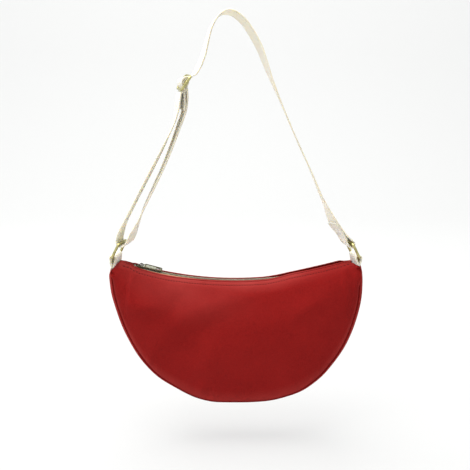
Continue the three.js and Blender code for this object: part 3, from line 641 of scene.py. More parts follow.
def new_piece(name, points, faces, uv=None, finish=None, normals=None):
    """A mesh object from points and faces, with texture places in metres."""
    mesh = bpy.data.meshes.new(name)
    mesh.from_pydata(np.asarray(points).tolist(), [], [tuple(int(i) for i in face) for face in faces])
    mesh.polygons.foreach_set("use_smooth", [True] * len(mesh.polygons))
    if uv is not None:
        corners = np.zeros(len(mesh.loops), np.int32)
        mesh.loops.foreach_get("vertex_index", corners)
        layer = mesh.uv_layers.new(name="cloth")
        layer.data.foreach_set("uv", np.asarray(uv, np.float32)[corners].ravel())
    if normals is not None:
        mesh.normals_split_custom_set_from_vertices(np.asarray(normals).tolist())
    mesh.update()
    return linked(name, mesh, finish)


def facing_out(piece):
    """Turns the faces of a closed mesh to point out."""
    shape = bmesh.new()
    shape.from_mesh(piece.data)
    bmesh.ops.recalc_face_normals(shape, faces=shape.faces)
    shape.to_mesh(piece.data)
    shape.free()
    return piece


def cloth_places(grid):
    """Texture places of a grid of cloth: sideways by its middle row's length, and down by each column's."""
    steps = np.linalg.norm(np.diff(grid, axis=0), axis=-1)
    down = np.concatenate([np.zeros((1, grid.shape[1])), np.cumsum(steps, axis=0)])
    middle = np.linalg.norm(np.diff(grid[grid.shape[0] // 2], axis=0), axis=-1)
    along = np.concatenate([[0], np.cumsum(middle)])
    return np.stack([np.broadcast_to(along, down.shape), down], axis=-1)


def cloth_piece(name, grid, normals, places, thickness, finish):
    """A closed sheet of cloth: a grid as its outer face, and an inner face under it."""
    rows, columns = grid.shape[:2]
    outer = grid.reshape(-1, 3)
    lift = normals.reshape(-1, 3)
    points = np.concatenate([outer, outer - lift * thickness])
    flip = np.sum(np.cross(grid[0, 1] - grid[0, 0], grid[1, 0] - grid[0, 0]) * normals[0, 0]) < 0
    faces = grid_faces(rows, columns, flip)
    count = rows * columns
    index = np.arange(count).reshape(rows, columns)
    border = np.concatenate([index[0, :-1], index[:-1, -1], index[-1, :0:-1], index[:0:-1, 0]])
    after = np.roll(border, -1)
    rim = np.stack([border, border + count, after + count, after], axis=-1)
    faces = np.concatenate([faces, faces[:, ::-1] + count, rim[:, ::-1] if flip else rim])
    uv = np.concatenate([places.reshape(-1, 2)] * 2)
    return new_piece(name, points, faces, uv, finish, np.concatenate([lift, -lift]))


def paint_wear_and_sheen(piece, amounts):
    """Notes how far each point of a cloth's grid is painted pale: painted sheen and highlight where light
    falls, and partly cloth worn pale.
    """
    layer = piece.data.attributes.new("wear_and_sheen", "FLOAT", "POINT")
    layer.data.foreach_set("value", np.concatenate([np.ravel(amounts)] * 2).astype(np.float32))


def tube_piece(name, line, radius, sides, finish, endless=False):
    """A round tube along a line of points, joined end to end or with rounded ends."""
    if endless:
        radii = np.broadcast_to(radius, len(line))
        ahead = unit(np.roll(line, -1, axis=0) - np.roll(line, 1, axis=0))
    else:
        line, radii = rounded_ends(line, radius)
        ahead = unit(np.gradient(line, axis=0))
    hint = np.array([0.31, 0.22, 0.92]) if abs(ahead[0][2]) < 0.8 else np.array([0.9, 0.3, 0.1])
    side = [unit(np.cross(ahead[0], hint))]
    for direction in ahead[1:]:
        side.append(unit(side[-1] - direction * np.dot(side[-1], direction)))
    side = np.array(side)
    other = np.cross(ahead, side)
    turns = np.linspace(0, 2 * np.pi, sides, endpoint=False)
    cos, sin = np.cos(turns)[None, :, None], np.sin(turns)[None, :, None]
    rings = line[:, None] + radii[:, None, None] * (cos * side[:, None] + sin * other[:, None])
    faces = ring_faces(len(line), sides, endless)
    return facing_out(new_piece(name, rings.reshape(-1, 3), faces, finish=finish))


def rounded_ends(line, radius):
    """A line with extra points at both ends, and radii that round a tube off there."""
    out = [(0.0, 0.35), (0.12, 0.75), (0.35, 0.95)]
    first = unit(line[0] - line[1])
    last = unit(line[-1] - line[-2])
    start = [line[0] + first * radius * (0.6 - step) for step, _ in out]
    end = [line[-1] + last * radius * (0.6 - step) for step, _ in reversed(out)]
    radii = [size for _, size in out] + [1.0] * len(line) + [size for _, size in reversed(out)]
    return np.array(start + list(line) + end), np.array(radii) * radius


def merged(name, parts):
    """One piece from several, which are used up."""
    made = bmesh.new()
    finish = parts[0].data.materials[0] if parts[0].data.materials else None
    for part in parts:
        made.from_mesh(part.data)
        bpy.data.objects.remove(part)
    mesh = bpy.data.meshes.new(name)
    made.to_mesh(mesh)
    made.free()
    return linked(name, mesh, finish)


def points_of(piece):
    """The points of a piece's mesh."""
    points = np.zeros(len(piece.data.vertices) * 3, np.float32)
    piece.data.vertices.foreach_get("co", points)
    return points.reshape(-1, 3)


def set_points(piece, points):
    """The piece with its mesh's points put elsewhere."""
    piece.data.vertices.foreach_set("co", points.astype(np.float32).ravel())
    piece.data.update()
    return piece


def moved(piece, matrix):
    """The piece with its mesh put through a 3 by 4 placing."""
    return set_points(piece, points_of(piece) @ matrix[:, :3].T + matrix[:, 3])


def cut_plate(name, loops, bottom, top, bevel, finish):
    """A flat plate with bevelled edges, cut from its outer loop and any holes, lying square to Z."""
    flat = bpy.data.curves.new(name, "CURVE")
    flat.dimensions = "2D"
    flat.fill_mode = "BOTH"
    flat.extrude = (top - bottom) / 2 - bevel
    flat.bevel_depth = bevel
    flat.bevel_resolution = 2
    flat.offset = -bevel
    for loop in loops:
        spline = flat.splines.new("POLY")
        spline.points.add(len(loop) - 1)
        spline.points.foreach_set("co", [v for x, y in loop for v in (x, y, 0, 1)])
        spline.use_cyclic_u = True
    shape = linked(name, flat)
    bpy.context.view_layer.update()
    mesh = bpy.data.meshes.new_from_object(shape.evaluated_get(bpy.context.evaluated_depsgraph_get()))
    bpy.data.objects.remove(shape)
    mesh.name = name
    mesh.materials.clear()
    made = bmesh.new()
    made.from_mesh(mesh)
    bmesh.ops.remove_doubles(made, verts=made.verts, dist=0.01 * MM)
    bmesh.ops.translate(made, verts=made.verts, vec=(0, 0, (top + bottom) / 2))
    bmesh.ops.recalc_face_normals(made, faces=made.faces)
    made.to_mesh(mesh)
    made.free()
    return linked(name, mesh, finish)


def rounded_box(from_x, to_x, half_width, corner, steps=5):
    """A rectangle along X with rounded corners, as a loop of points with some steps at each corner."""
    loop = []
    for x, y, start in ((to_x, 1, 0), (from_x, 1, 90), (from_x, -1, 180), (to_x, -1, 270)):
        mid_x = x - corner if x == to_x else x + corner
        mid_y = y * (half_width - corner)
        for turn in np.radians(np.linspace(start, start + 90, steps)):
            loop.append((mid_x + corner * math.cos(turn), mid_y + corner * math.sin(turn)))
    return loop


# a stitch: shares of its length, and the thread's radius and height there by the radius
STITCH_PROFILE = [
    (0, 0.45, -1.2), (0.12, 0.85, -0.1), (0.32, 1, 0.4), (0.68, 1, 0.4), (0.88, 0.85, -0.1), (1, 0.45, -1.2),
]
STITCH_SIDES = 6
# how much of the pitch is left free at each end of a stitch in webbing
STITCH_GAP = 0.14


def stitch_piece(name, starts, ends, normals, radius, finish):
    """Stitches as short lengths of thread whose ends dip into the cloth."""
    starts, ends, normals = (np.asarray(v, float) for v in (starts, ends, normals))
    ahead = unit(ends - starts)
    side = unit(np.cross(normals, ahead))
    places, sizes, heights = np.array(STITCH_PROFILE).T
    turns = np.linspace(0, 2 * np.pi, STITCH_SIDES, endpoint=False)
    middle = starts[:, None] + (ends - starts)[:, None] * places[None, :, None]
    middle = middle + normals[:, None] * (heights * radius)[None, :, None]
    ring = side[:, None] * np.cos(turns)[None, :, None] + normals[:, None] * np.sin(turns)[None, :, None]
    points = middle[:, :, None] + ring[:, None] * (sizes * radius)[None, :, None, None]
    count, steps, sides = points.shape[:3]
    faces = repeated_faces(ring_faces(steps, sides), steps * sides, count)
    return facing_out(new_piece(name, points.reshape(-1, 3), faces, finish=finish))


class Webbing:
    """Flat webbing along a line, with its width and its faces turned by a yaw."""

    SECTION = [
        (-1, 0), (-0.985, -0.62), (-0.94, -0.95), (-0.5, -1), (0, -1), (0.5, -1), (0.94, -0.95),
        (0.985, -0.62), (1, 0), (0.985, 0.62), (0.94, 0.95), (0.5, 1), (0, 1), (-0.5, 1), (-0.94, 0.95),
        (-0.985, 0.62),
    ]

    def __init__(self, controls, step, width, thickness):
        """controls are rows of x, y, z and yaw in degrees."""
        knots = travelled(controls)
        count = int(round(knots[-1] / step))
        self.at = np.linspace(0, knots[-1], count + 1)
        rows = through(controls, knots, self.at)
        self.line = rows[:, :3]
        self.half_width = width / 2
        self.half_thickness = thickness / 2
        ahead = unit(np.gradient(self.line, axis=0))
        self.sideways = level_across(np.radians(rows[:, 3]), ahead)
        self.facing = np.cross(self.sideways, ahead)

    def surface(self, at, across, face):
        """Points and normals on a face, by length along the line and distance across it."""
        facing = unit(read_along(at, self.at, self.facing))
        sideways = read_along(at, self.at, self.sideways)
        place = read_along(at, self.at, self.line) + sideways * across[:, None]
        return place + facing * face * self.half_thickness, facing * face

    def piece(self, name, start, stop, finish, closed=(True, True)):
        """A mesh of the webbing between two lengths along its line."""
        first, last = np.searchsorted(self.at, [start, stop - 1e-9])
        last = min(last, len(self.at) - 1)
        chosen = np.arange(first, last + 1)
        section = np.array(self.SECTION)
        selvedge = np.where(np.abs(section[:, 0]) == 1, 0.01, 0)
        beat = np.where(chosen % 2 == 0, 1, -1)[:, None]
        wide = section[None, :, 0] * (1 + selvedge[None] * beat) * self.half_width
        thick = np.broadcast_to(section[None, :, 1] * self.half_thickness, wide.shape)
        points = (
            self.line[chosen, None]
            + self.sideways[chosen, None] * wide[..., None]
            + self.facing[chosen, None] * thick[..., None]
        )
        uv = np.stack([wide, np.broadcast_to(self.at[chosen, None], wide.shape)], axis=-1)
        faces = ring_faces(*wide.shape, caps=closed)
        return facing_out(new_piece(name, points.reshape(-1, 3), faces, uv.reshape(-1, 2), finish))

    def stitch_row(self, path, pitch, face):
        """Starts, ends and normals of stitches along a path of (length, across) places on a face."""
        path = np.array(path, float)
        along = travelled(np.column_stack([path, np.zeros(len(path))]))
        count = max(1, int(round(along[-1] / pitch)))
        edges = np.linspace(0, along[-1], count + 1)
        (starts, normals), (ends, _) = (
            self.surface(np.interp(at, along, path[:, 0]), np.interp(at, along, path[:, 1]), face)
            for at in (edges[:-1] + STITCH_GAP * pitch, edges[1:] - STITCH_GAP * pitch)
        )
        return starts, ends, normals


# Finishes


def add_node(tree, kind, values=None, **options):
    """A node with its options, and values or links for its input sockets."""
    made = tree.nodes.new(kind)
    for name, value in options.items():
        setattr(made, name, value)
    for socket, value in (values or {}).items():
        if isinstance(value, bpy.types.NodeSocket):
            tree.links.new(value, made.inputs[socket])
        else:
            made.inputs[socket].default_value = value
    return made


def calculate(tree, operation, *terms):
    """The result of a sum, product or other operation."""
    return add_node(tree, "ShaderNodeMath", dict(enumerate(terms)), operation=operation).outputs[0]


def remap(tree, value, low, high, to_low, to_high):
    """A value moved from one range to another and kept inside it."""
    values = {"Value": value, "From Min": low, "From Max": high, "To Min": to_low, "To Max": to_high}
    return add_node(tree, "ShaderNodeMapRange", values).outputs["Result"]


def mixed(tree, amount, first, second):
    """Two colours mixed by an amount."""
    return add_node(tree, "ShaderNodeMix", {6: first, 7: second, 0: amount}, data_type="RGBA").outputs[2]


def scaled(tree, value, factor):
    """A value times a factor."""
    return calculate(tree, "MULTIPLY", value, factor)


def wave(tree, place, pitch):
    """A wave of a place between 0 and 1, which repeats at each pitch."""
    turns = scaled(tree, calculate(tree, "DIVIDE", place, pitch), 2 * math.pi)
    return calculate(tree, "MULTIPLY_ADD", calculate(tree, "SINE", turns), 0.5, 0.5)


def new_group(name, inputs, outputs):
    """An empty shader node group with value sockets, and its input and output nodes."""
    tree = bpy.data.node_groups.new(name, "ShaderNodeTree")
    for label, value in inputs.items():
        tree.interface.new_socket(label, in_out="INPUT", socket_type="NodeSocketFloat").default_value = value
    for label in outputs:
        tree.interface.new_socket(label, in_out="OUTPUT", socket_type="NodeSocketFloat")
    return tree, tree.nodes.new("NodeGroupInput").outputs, tree.nodes.new("NodeGroupOutput").inputs


def plain_weave_group(name):
    """Crossing threads by the cloth's own places, a little uneven."""
    tree, given, result = new_group(name, {"Pitch": 1 * MM, "Slub": 0.35}, ["Height", "Slub"])
    places = add_node(tree, "ShaderNodeTexCoord").outputs["UV"]
    uneven = add_node(tree, "ShaderNodeTexNoise", {"Vector": places, "Scale": 160.0, "Detail": 2.0})
    shift = scaled(tree, calculate(tree, "SUBTRACT", uneven.outputs[0], 0.5), given["Slub"])
    split = add_node(tree, "ShaderNodeSeparateXYZ", {0: places})
    waves = []
    for axis in ("X", "Y"):
        turns = calculate(tree, "DIVIDE", split.outputs[axis], given["Pitch"])
        turns = calculate(tree, "ADD", turns, shift)
        waves.append(calculate(tree, "SINE", scaled(tree, turns, 2 * math.pi)))
    crossing = calculate(tree, "MULTIPLY", *waves)
    tree.links.new(calculate(tree, "MULTIPLY_ADD", crossing, 0.5, 0.5), result["Height"])
    stretch = []
    for scale in ((90.0, 1500.0, 1.0), (1500.0, 90.0, 1.0)):
        threads = add_node(tree, "ShaderNodeMapping", {"Vector": places, "Scale": scale})
        values = {"Vector": threads.outputs[0], "Scale": 1.0, "Detail": 1.0}
        stretch.append(add_node(tree, "ShaderNodeTexNoise", values).outputs[0])
    both = scaled(tree, calculate(tree, "ADD", *stretch), 0.5)
    tree.links.new(remap(tree, both, 0.35, 0.65, 0.0, 1.0), result["Slub"])
    return tree


def soft_patches_group(name):
    """Soft cloudy patches, as on cloth and metal that have been handled."""
    tree, given, result = new_group(name, {"Scale": 20.0, "Low": 0.35, "High": 0.65}, ["Mask"])
    places = add_node(tree, "ShaderNodeTexCoord").outputs["Object"]
    cloud = add_node(tree, "ShaderNodeTexNoise", {"Vector": places, "Scale": given["Scale"], "Detail": 3.0})
    tree.links.new(remap(tree, cloud.outputs[0], given["Low"], given["High"], 0.0, 1.0), result["Mask"])
    return tree


def chevron_weave_group(name):
    """Ribs that zigzag across the width of webbing, with a selvedge at both edges."""
    sizes = {"Rib": 1.6, "Chevron": 3.2, "Half width": 12.5, "Selvedge": 0.5, "Beat": 2.5}
    inputs = {label: size * MM for label, size in sizes.items()}
    tree, given, result = new_group(name, inputs, ["Height", "Selvedge", "Beat"])
    places = add_node(tree, "ShaderNodeTexCoord").outputs["UV"]
    split = add_node(tree, "ShaderNodeSeparateXYZ", {0: places})
    zigzag = calculate(tree, "PINGPONG", split.outputs["X"], given["Chevron"])
    along = calculate(tree, "ADD", split.outputs["Y"], zigzag)
    tree.links.new(wave(tree, along, given["Rib"]), result["Height"])
    edge = calculate(tree, "SUBTRACT", given["Half width"], calculate(tree, "ABSOLUTE", split.outputs["X"]))
    near = calculate(tree, "SUBTRACT", 1.0, calculate(tree, "DIVIDE", edge, given["Selvedge"]))
    tree.links.new(add_node(tree, "ShaderNodeClamp", {0: near}).outputs[0], result["Selvedge"])
    tree.links.new(wave(tree, split.outputs["Y"], given["Beat"]), result["Beat"])
    return tree


GROUPS = {
    "Plain weave": plain_weave_group,
    "Soft patches": soft_patches_group,
    "Chevron weave": chevron_weave_group,
}


def place_group(tree, name, **values):
    """A node group placed in a material with its own values, as its outputs; made when first asked for."""
    made = add_node(tree, "ShaderNodeGroup")
    made.node_tree = bpy.data.node_groups.get(name) or GROUPS[name](name)
    for label, value in values.items():
        made.inputs[label.replace("_", " ").capitalize()].default_value = value
    return made.outputs


def patches(tree, scale, low=0.35, high=0.65):
    """A mask of soft cloudy patches, finer at a larger scale."""
    return place_group(tree, "Soft patches", scale=scale, low=low, high=high)["Mask"]


def new_finish(name, roughness, **constants):
    """A material with its Principled shader, and constants set on the shader's own sockets."""
    made = bpy.data.materials.new(name)
    made.use_nodes = True
    shader = made.node_tree.nodes["Principled BSDF"]
    shader.inputs["Roughness"].default_value = roughness
    for label, value in constants.items():
        shader.inputs[label.replace("_", " ")].default_value = value
    return made, made.node_tree, shader.inputs


def dress(tree, sockets, shade, height, depth, roughness=None):
    """Links a colour and a bump to a shader, and a roughness where it varies."""
    bump = add_node(tree, "ShaderNodeBump", {"Height": height, "Distance": depth, "Strength": 1.0})
    tree.links.new(shade, sockets["Base Color"])
    tree.links.new(bump.outputs[0], sockets["Normal"])
    if roughness is not None:
        tree.links.new(roughness, sockets["Roughness"])


def opaque(settings_colour, share_left=1.0):
    """A settings colour with full alpha, or a darker one with a share of its brightness left."""
    return (*(v * share_left for v in settings_colour), 1.0)


def canvas_finish(colours):
    """Matt red canvas, lighter where it has been handled, and pale where painted sheen and highlight mark the
    lit hems and rims, partly also worn.
    """
    made, tree, sockets = new_finish("canvas_red", 0.86, Specular_IOR_Level=0.12)
    weave = place_group(tree, "Plain weave", pitch=0.95 * MM)
    clouds = patches(tree, 19.0, 0.36, 0.7)
    grain = patches(tree, 520.0, 0.2, 0.8)
    worn = mixed(tree, clouds, opaque(colours.canvas), opaque(colours.canvas_worn))
    dark = mixed(tree, scaled(tree, weave["Slub"], 0.44), worn, (0.12, 0.006, 0.006, 1))
    spun = mixed(tree, scaled(tree, grain, 0.3), dark, (0.48, 0.024, 0.02, 1))
    # the pale mark noted on the cloth's points: painted sheen and highlight, and partly cloth worn pale
    wear_and_sheen = add_node(tree, "ShaderNodeAttribute", attribute_name="wear_and_sheen").outputs["Fac"]
    wear_and_sheen = scaled(tree, wear_and_sheen, remap(tree, clouds, 0.0, 1.0, 0.6, 1.0))
    shade = mixed(tree, wear_and_sheen, spun, opaque(colours.canvas_wear_and_sheen))
    height = calculate(tree, "ADD", weave["Height"], scaled(tree, weave["Slub"], 0.8))
    dress(tree, sockets, shade, height, 0.16 * MM, remap(tree, weave["Height"], 0.0, 1.0, 0.94, 0.8))
    return made


def thread_finish(name, thread):
    """Sewing thread."""
    made, tree, sockets = new_finish(name, 0.8, Specular_IOR_Level=0.15)
    ply = patches(tree, 1400.0, 0.3, 0.7)
    pale = tuple(min(1.0, v * 1.35 + 0.01) for v in thread)
    shade = mixed(tree, ply, opaque(thread), opaque(pale))
    dress(tree, sockets, shade, ply, 0.08 * MM)
    return made


def lining_finish(colours):
    """Plain cotton lining."""
    made, tree, sockets = new_finish("lining_tan", 0.9, Sheen_Weight=0.1)
    weave = place_group(tree, "Plain weave", pitch=0.7 * MM)
    clouds = patches(tree, 30.0)
    dark = opaque(colours.lining, 0.82)
    base = mixed(tree, clouds, dark, opaque(colours.lining))
    shade = mixed(tree, scaled(tree, weave["Slub"], 0.25), base, dark)
    dress(tree, sockets, shade, weave["Height"], 0.1 * MM, remap(tree, weave["Height"], 0.0, 1.0, 0.95, 0.86))
    return made


def tape_finish(colours):
    """Ribbed zip tape."""
    made, tree, sockets = new_finish("zip_tape_beige", 0.88, Sheen_Weight=0.1)
    weave = place_group(tree, "Plain weave", pitch=0.8 * MM, slub=0.2)
    shade = mixed(tree, scaled(tree, weave["Slub"], 0.5), opaque(colours.tape), opaque(colours.tape, 0.72))
    roughness = remap(tree, weave["Height"], 0.0, 1.0, 0.94, 0.82)
    dress(tree, sockets, shade, weave["Height"], 0.12 * MM, roughness)
    return made


def webbing_finish(colours):
    """Cream cotton webbing in a chevron weave, with a beaten selvedge and painted shade in the grooves
    between its ribs.
    """
    made, tree, sockets = new_finish(
        "webbing_cream", 0.9, Specular_IOR_Level=0.2, Subsurface_Weight=0.5,
        Subsurface_Radius=(1.0, 0.86, 0.62), Subsurface_Scale=3 * MM,
    )
    weave = place_group(tree, "Chevron weave")
    clouds = patches(tree, 60.0)
    fibre = patches(tree, 900.0, 0.25, 0.75)
    dark = opaque(colours.webbing, 0.93)
    # painted shade: the grooves between the ribs are coloured darker
    groove_shade = scaled(tree, calculate(tree, "SUBTRACT", 1.0, weave["Height"]), 0.4)
    face = mixed(tree, groove_shade, opaque(colours.webbing), dark)
    face = mixed(tree, scaled(tree, clouds, 0.25), face, dark)
    edge = scaled(tree, weave["Selvedge"], remap(tree, weave["Beat"], 0.0, 1.0, 0.7, 1.0))
    shade = mixed(tree, edge, face, opaque(colours.webbing_edge))
    height = calculate(tree, "ADD", weave["Height"], scaled(tree, fibre, 0.4))
    dress(tree, sockets, shade, height, 0.08 * MM, remap(tree, fibre, 0.0, 1.0, 0.84, 0.96))
    return made


def metal_finish(name, clean, tarnish, roughness, spread):
    """Brass with cloudy tarnish and a fine grain."""
    made, tree, sockets = new_finish(name, roughness, Metallic=1.0)
    clouds = patches(tree, spread, 0.32, 0.72)
    fine = patches(tree, 1600.0, 0.3, 0.7)
    shade = mixed(tree, clouds, opaque(clean), opaque(tarnish))
    uneven = calculate(tree, "ADD", clouds, scaled(tree, fine, 0.5))
    uneven = remap(tree, uneven, 0.0, 1.5, roughness - 0.08, roughness + 0.16)
    dress(tree, sockets, shade, fine, 0.02 * MM, uneven)
    return made


def finish(name):
    """A finish by its name, made when it is first asked for."""
    colours = bpy.context.scene.bag_finish
    cloths = {
        "canvas_red": canvas_finish,
        "lining_tan": lining_finish,
        "zip_tape_beige": tape_finish,
        "webbing_cream": webbing_finish,
    }
    threads = {"canvas_thread": colours.canvas_thread, "webbing_thread": colours.webbing_thread}
    # clean and tarnished colour, roughness, and how fine the patches are
    metals = {
        "wire_brass": (colours.brass, colours.brass_tarnish, 0.34, 120.0),
        "plate_brass": (colours.aged_brass, colours.aged_brass_tarnish, 0.42, 260.0),
        "dark_brass": (colours.dark_brass, colours.dark_brass_tarnish, 0.42, 300.0),
    }
    if name in bpy.data.materials:
        return bpy.data.materials[name]
    if name in cloths:
        return cloths[name](colours)
    if name in threads:
        return thread_finish(name, threads[name])
    return metal_finish(name, *metals[name])


# Placing on the frame

# the height at which the opening starts in the middle of the mouth, and how far above it is whole
MOUTH_REACH = 41 * MM
# how fast the opening dies away along x, per metre
MIDDLE_FALL = 5.0
END_FALL = 16.0
# where the opening starts on the border of an end part, and how the border spreads on its way down
BORDER_SPREAD = 0.127


def in_span(x, span):
    """The places that are within a span."""
    return x[(x >= span[0]) & (x < span[1])]


def open_with_mouth(piece, part):
    """Bakes the piece's placing into its mesh; the opening's fall and climb are worked out for the part but
    not used.
    """
    fall, climb = MIDDLE_FALL, 1 / MOUTH_REACH
    if part.endswith("_end"):
        fall, climb = END_FALL, climb - (END_FALL - MIDDLE_FALL) * BORDER_SPREAD
    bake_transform(piece)
    return piece


def ride_on(piece, body, slot_name, *nodes):
    """The piece moves with a body and stands for nodes of the frame; slot_name is not used."""
    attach(piece, body)
    if nodes:
        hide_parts(*nodes)
    return piece


# The sewn body


class BAG_OT_sew_canvas(bpy.types.Operator):
    """Sews the front and back panels with their turned-in hems and topstitching"""

    bl_idname = "bag.sew_canvas"
    bl_label = "Sew the canvas panels"

    # rows of a panel and how pale they are painted, on its hem and along its rim, there counted from the last
    # row: painted highlight where light falls on the hem and on the rolled rim, and partly cloth worn pale
    HEM_WEAR_AND_HIGHLIGHT = ([4, 6, 17, 22, 30], [0, 0.7, 0.8, 0.6, 0])
    RIM_HIGHLIGHT_AND_WEAR = ([-14, -6, -3], [0, 0.45, 0.3])
    # the pale patch at the front's upper left, by the zip's start: painted light falling from the upper left,
    # and partly cloth worn by the hand that opens the zip; how pale it is, its first row and how far down it
    # reaches
    PATCH_LIGHT_AND_WEAR = 0.44
    PATCH_ROW = 24
    PATCH_REACH = 0.42
    # topstitching: pitch, half a stitch as a share of it, thread's radius and how far it is sunk
    EDGE_ROW = (2.9 * MM, 0.4, 0.3 * MM, 0.35 * MM)
    HEM_ROW = (3.6 * MM, 0.27, 0.48 * MM, 0.1 * MM)

    def execute(self, context):
        cut = context.scene.bag_cut
        body = BodyShape(cut)
        for side, face in FACE_NAMES.items():
            grid = body.canvas_grid(side)
            normals = side * grid_normals(grid)
            places = cloth_places(grid)
            wear_and_highlights = self.wear_and_highlights(side, len(grid))
            for part, (first, last) in MOUTH_PARTS.items():
                columns = slice(first, last + 1)
                cloth = (grid[:, columns], normals[:, columns], places[:, columns])
                piece = cloth_piece(f"canvas_{face}_{part}", *cloth, cut.canvas, finish("canvas_red"))
                # painted sheen and highlight, partly worn cloth, marked on the panel's points
                paint_wear_and_sheen(piece, wear_and_highlights[:, columns].ravel())
                open_with_mouth(piece, part)
                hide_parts(f"{face}_panel", f"{face}_hem")
                self.topstitch(body, side, part)
        return {"FINISHED"}

    def wear_and_highlights(self, side, rows):
        """How pale a panel is painted, by rows and columns: painted highlight and worn cloth on its hem and
        rim, and painted light from the upper left where a hand opens the zip.
        """
        row = np.arange(rows)[:, None]
        around = np.linspace(-1, 1, 2 * HALF_COLUMNS + 1)[None]
        hem = np.interp(row, *self.HEM_WEAR_AND_HIGHLIGHT)
        rim = np.interp(row - rows, *self.RIM_HIGHLIGHT_AND_WEAR)
        if side != FRONT:
            return np.repeat(hem + rim, around.size, axis=1)
        # painted light from the upper left: the hem is painted less pale towards the right
        hem = hem * between(1, 0.4, smooth((around - 0.2) / 0.4))
        down = np.maximum(row - self.PATCH_ROW, 0) / PANEL_ROWS
        along = smooth((around + 1.15) / 0.75) * (1 - smooth((around + 0.3) / 0.5))
        patch = self.PATCH_LIGHT_AND_WEAR * along * (1 - smooth(down / self.PATCH_REACH))
        return np.maximum(hem, patch) + rim

    def topstitch(self, body, side, part):
        """Two rows of stitches along part of a hem: close to its fold, and through the turned-in edge."""
        rows = [
            self.stitches(body, side, part, EDGE_STITCH, *self.EDGE_ROW),
            self.stitches(body, side, part, body.cut.topstitch_drop, *self.HEM_ROW),
        ]
        row = merged(f"topstitch_{FACE_NAMES[side]}_{part}", rows)
        open_with_mouth(row, part)

    def stitches(self, body, side, part, down, pitch, half_length, radius, sunk):
        """A row of stitches at a depth below the fold; half_length is a share of the pitch."""
        count = int((body.hem_half - 5 * MM) / pitch)
        x = in_span((np.arange(-count, count) + 0.5) * pitch, body.part_span(part, body.hem_half))
        near = body.hem_point(side, x - half_length * pitch, down, sunk)
        far = body.hem_point(side, x + half_length * pitch, down, sunk)
        return stitch_piece("row", near, far, body.hem_normal(side, x), radius, finish("canvas_thread"))


def gusset_cloth(body):
    """The gusset's grid and its directions, which face out."""
    grid = body.gusset_grid()
    normals = grid_normals(grid)
    base = normals[grid.shape[0] // 2, grid.shape[1] // 2]
    return grid, -normals if base[2] > 0 else normals


class BAG_OT_sew_gusset(bpy.types.Operator):
    """Sews the gusset round the curved edge, with its ends folded into the corners"""

    bl_idname = "bag.sew_gusset"
    bl_label = "Sew the gusset"

    # rows from the nearer edge and how pale they are painted: painted highlight on the gusset's strip beside
    # the seams, and partly cloth worn pale there
    EDGE_HIGHLIGHT_AND_WEAR = ([4, 7, 14, 20], [0, 0.75, 0.5, 0.15])

    def execute(self, context):
        cut = context.scene.bag_cut
        grid, normals = gusset_cloth(BodyShape(cut))
        places = cloth_places(grid)
        piece = cloth_piece("gusset_canvas", grid, normals, places, cut.canvas, finish("canvas_red"))
        rows, width = grid.shape[:2]
        wear_and_sheen = np.interp(np.minimum(np.arange(rows), np.arange(rows)[::-1]), *self.EDGE_HIGHLIGHT_AND_WEAR)
        # painted highlight along the gusset's edges, partly worn cloth
        paint_wear_and_sheen(piece, np.repeat(wear_and_sheen, width))
        ride_on(piece, "bag", "canvas", "gusset")
        return {"FINISHED"}


class BAG_OT_sew_lining(bpy.types.Operator):
    """Sews the lining of the panels and the gusset"""

    bl_idname = "bag.sew_lining"
    bl_label = "Sew the lining"

    # how far inside the canvas the lining hangs
    DEPTH = 2.9 * MM
    # rows and columns of the panels and of the gusset that it covers
    PANEL_SPAN = slice(21, -9, 2)
    SPARE_COLUMNS = 14
    GUSSET_SPAN = (slice(7, -7), slice(20, -20, 2))

    def execute(self, context):
        body = BodyShape(context.scene.bag_cut)
        for side, face in FACE_NAMES.items():
            grid = body.canvas_grid(side)
            normals = side * grid_normals(grid)
            for part, (near, far) in MOUTH_PARTS.items():
                last = min(far, 2 * HALF_COLUMNS - self.SPARE_COLUMNS)
                span = (self.PANEL_SPAN, slice(max(near, self.SPARE_COLUMNS), last + 1, 2))
                piece = self.cloth(f"lining_{face}_{part}", body.cut, grid, normals, span)
                open_with_mouth(piece, part)
                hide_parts(f"lining_{face}")
        piece = self.cloth("lining_gusset_cloth", body.cut, *gusset_cloth(body), self.GUSSET_SPAN)
        ride_on(piece, "bag", "lining", "lining_gusset")
        return {"FINISHED"}

    def cloth(self, name, cut, grid, normals, span):
        """A sheet of lining inside part of a grid of canvas."""
        inner = (grid - normals * self.DEPTH)[span]
        return cloth_piece(name, inner, normals[span], cloth_places(inner), cut.lining, finish("lining_tan"))


# The zip


class ZipShape:
    """Places along the zip, from the body's shape."""

    def __init__(self, body, sizes):
        self.body = body
        self.sizes = sizes
        self.teeth_half = body.hem_half - sizes.margin
        self.tape_half = self.teeth_half + sizes.tape_overhang
        self.slider_x = -self.teeth_half + sizes.slider_length / 2 + 1 * MM

    def beside(self, x, y, up):
        """Points beside the zip's line, square to it."""
        body = self.body
        x = np.asarray(x, float)
        lean = np.arcsin(x / body.mouth_radius)
        place_x = body.cut.body_shift + x - up * np.sin(lean)
        z = body.mouth_height(x) + up * np.cos(lean)
        return np.stack([place_x, np.broadcast_to(y, x.shape), z], axis=-1)

    def slider_placing(self):
        """The slider's place as a 3 by 4 placing."""
        x = self.slider_x
        turn = -math.asin(x / self.body.mouth_radius)
        c, s = math.cos(turn), math.sin(turn)
        place = self.beside(np.array(x), 0.0, 0.0)
        return np.array([[c, 0, s, place[0]], [0, 1, 0, place[1]], [-s, 0, c, place[2]]])


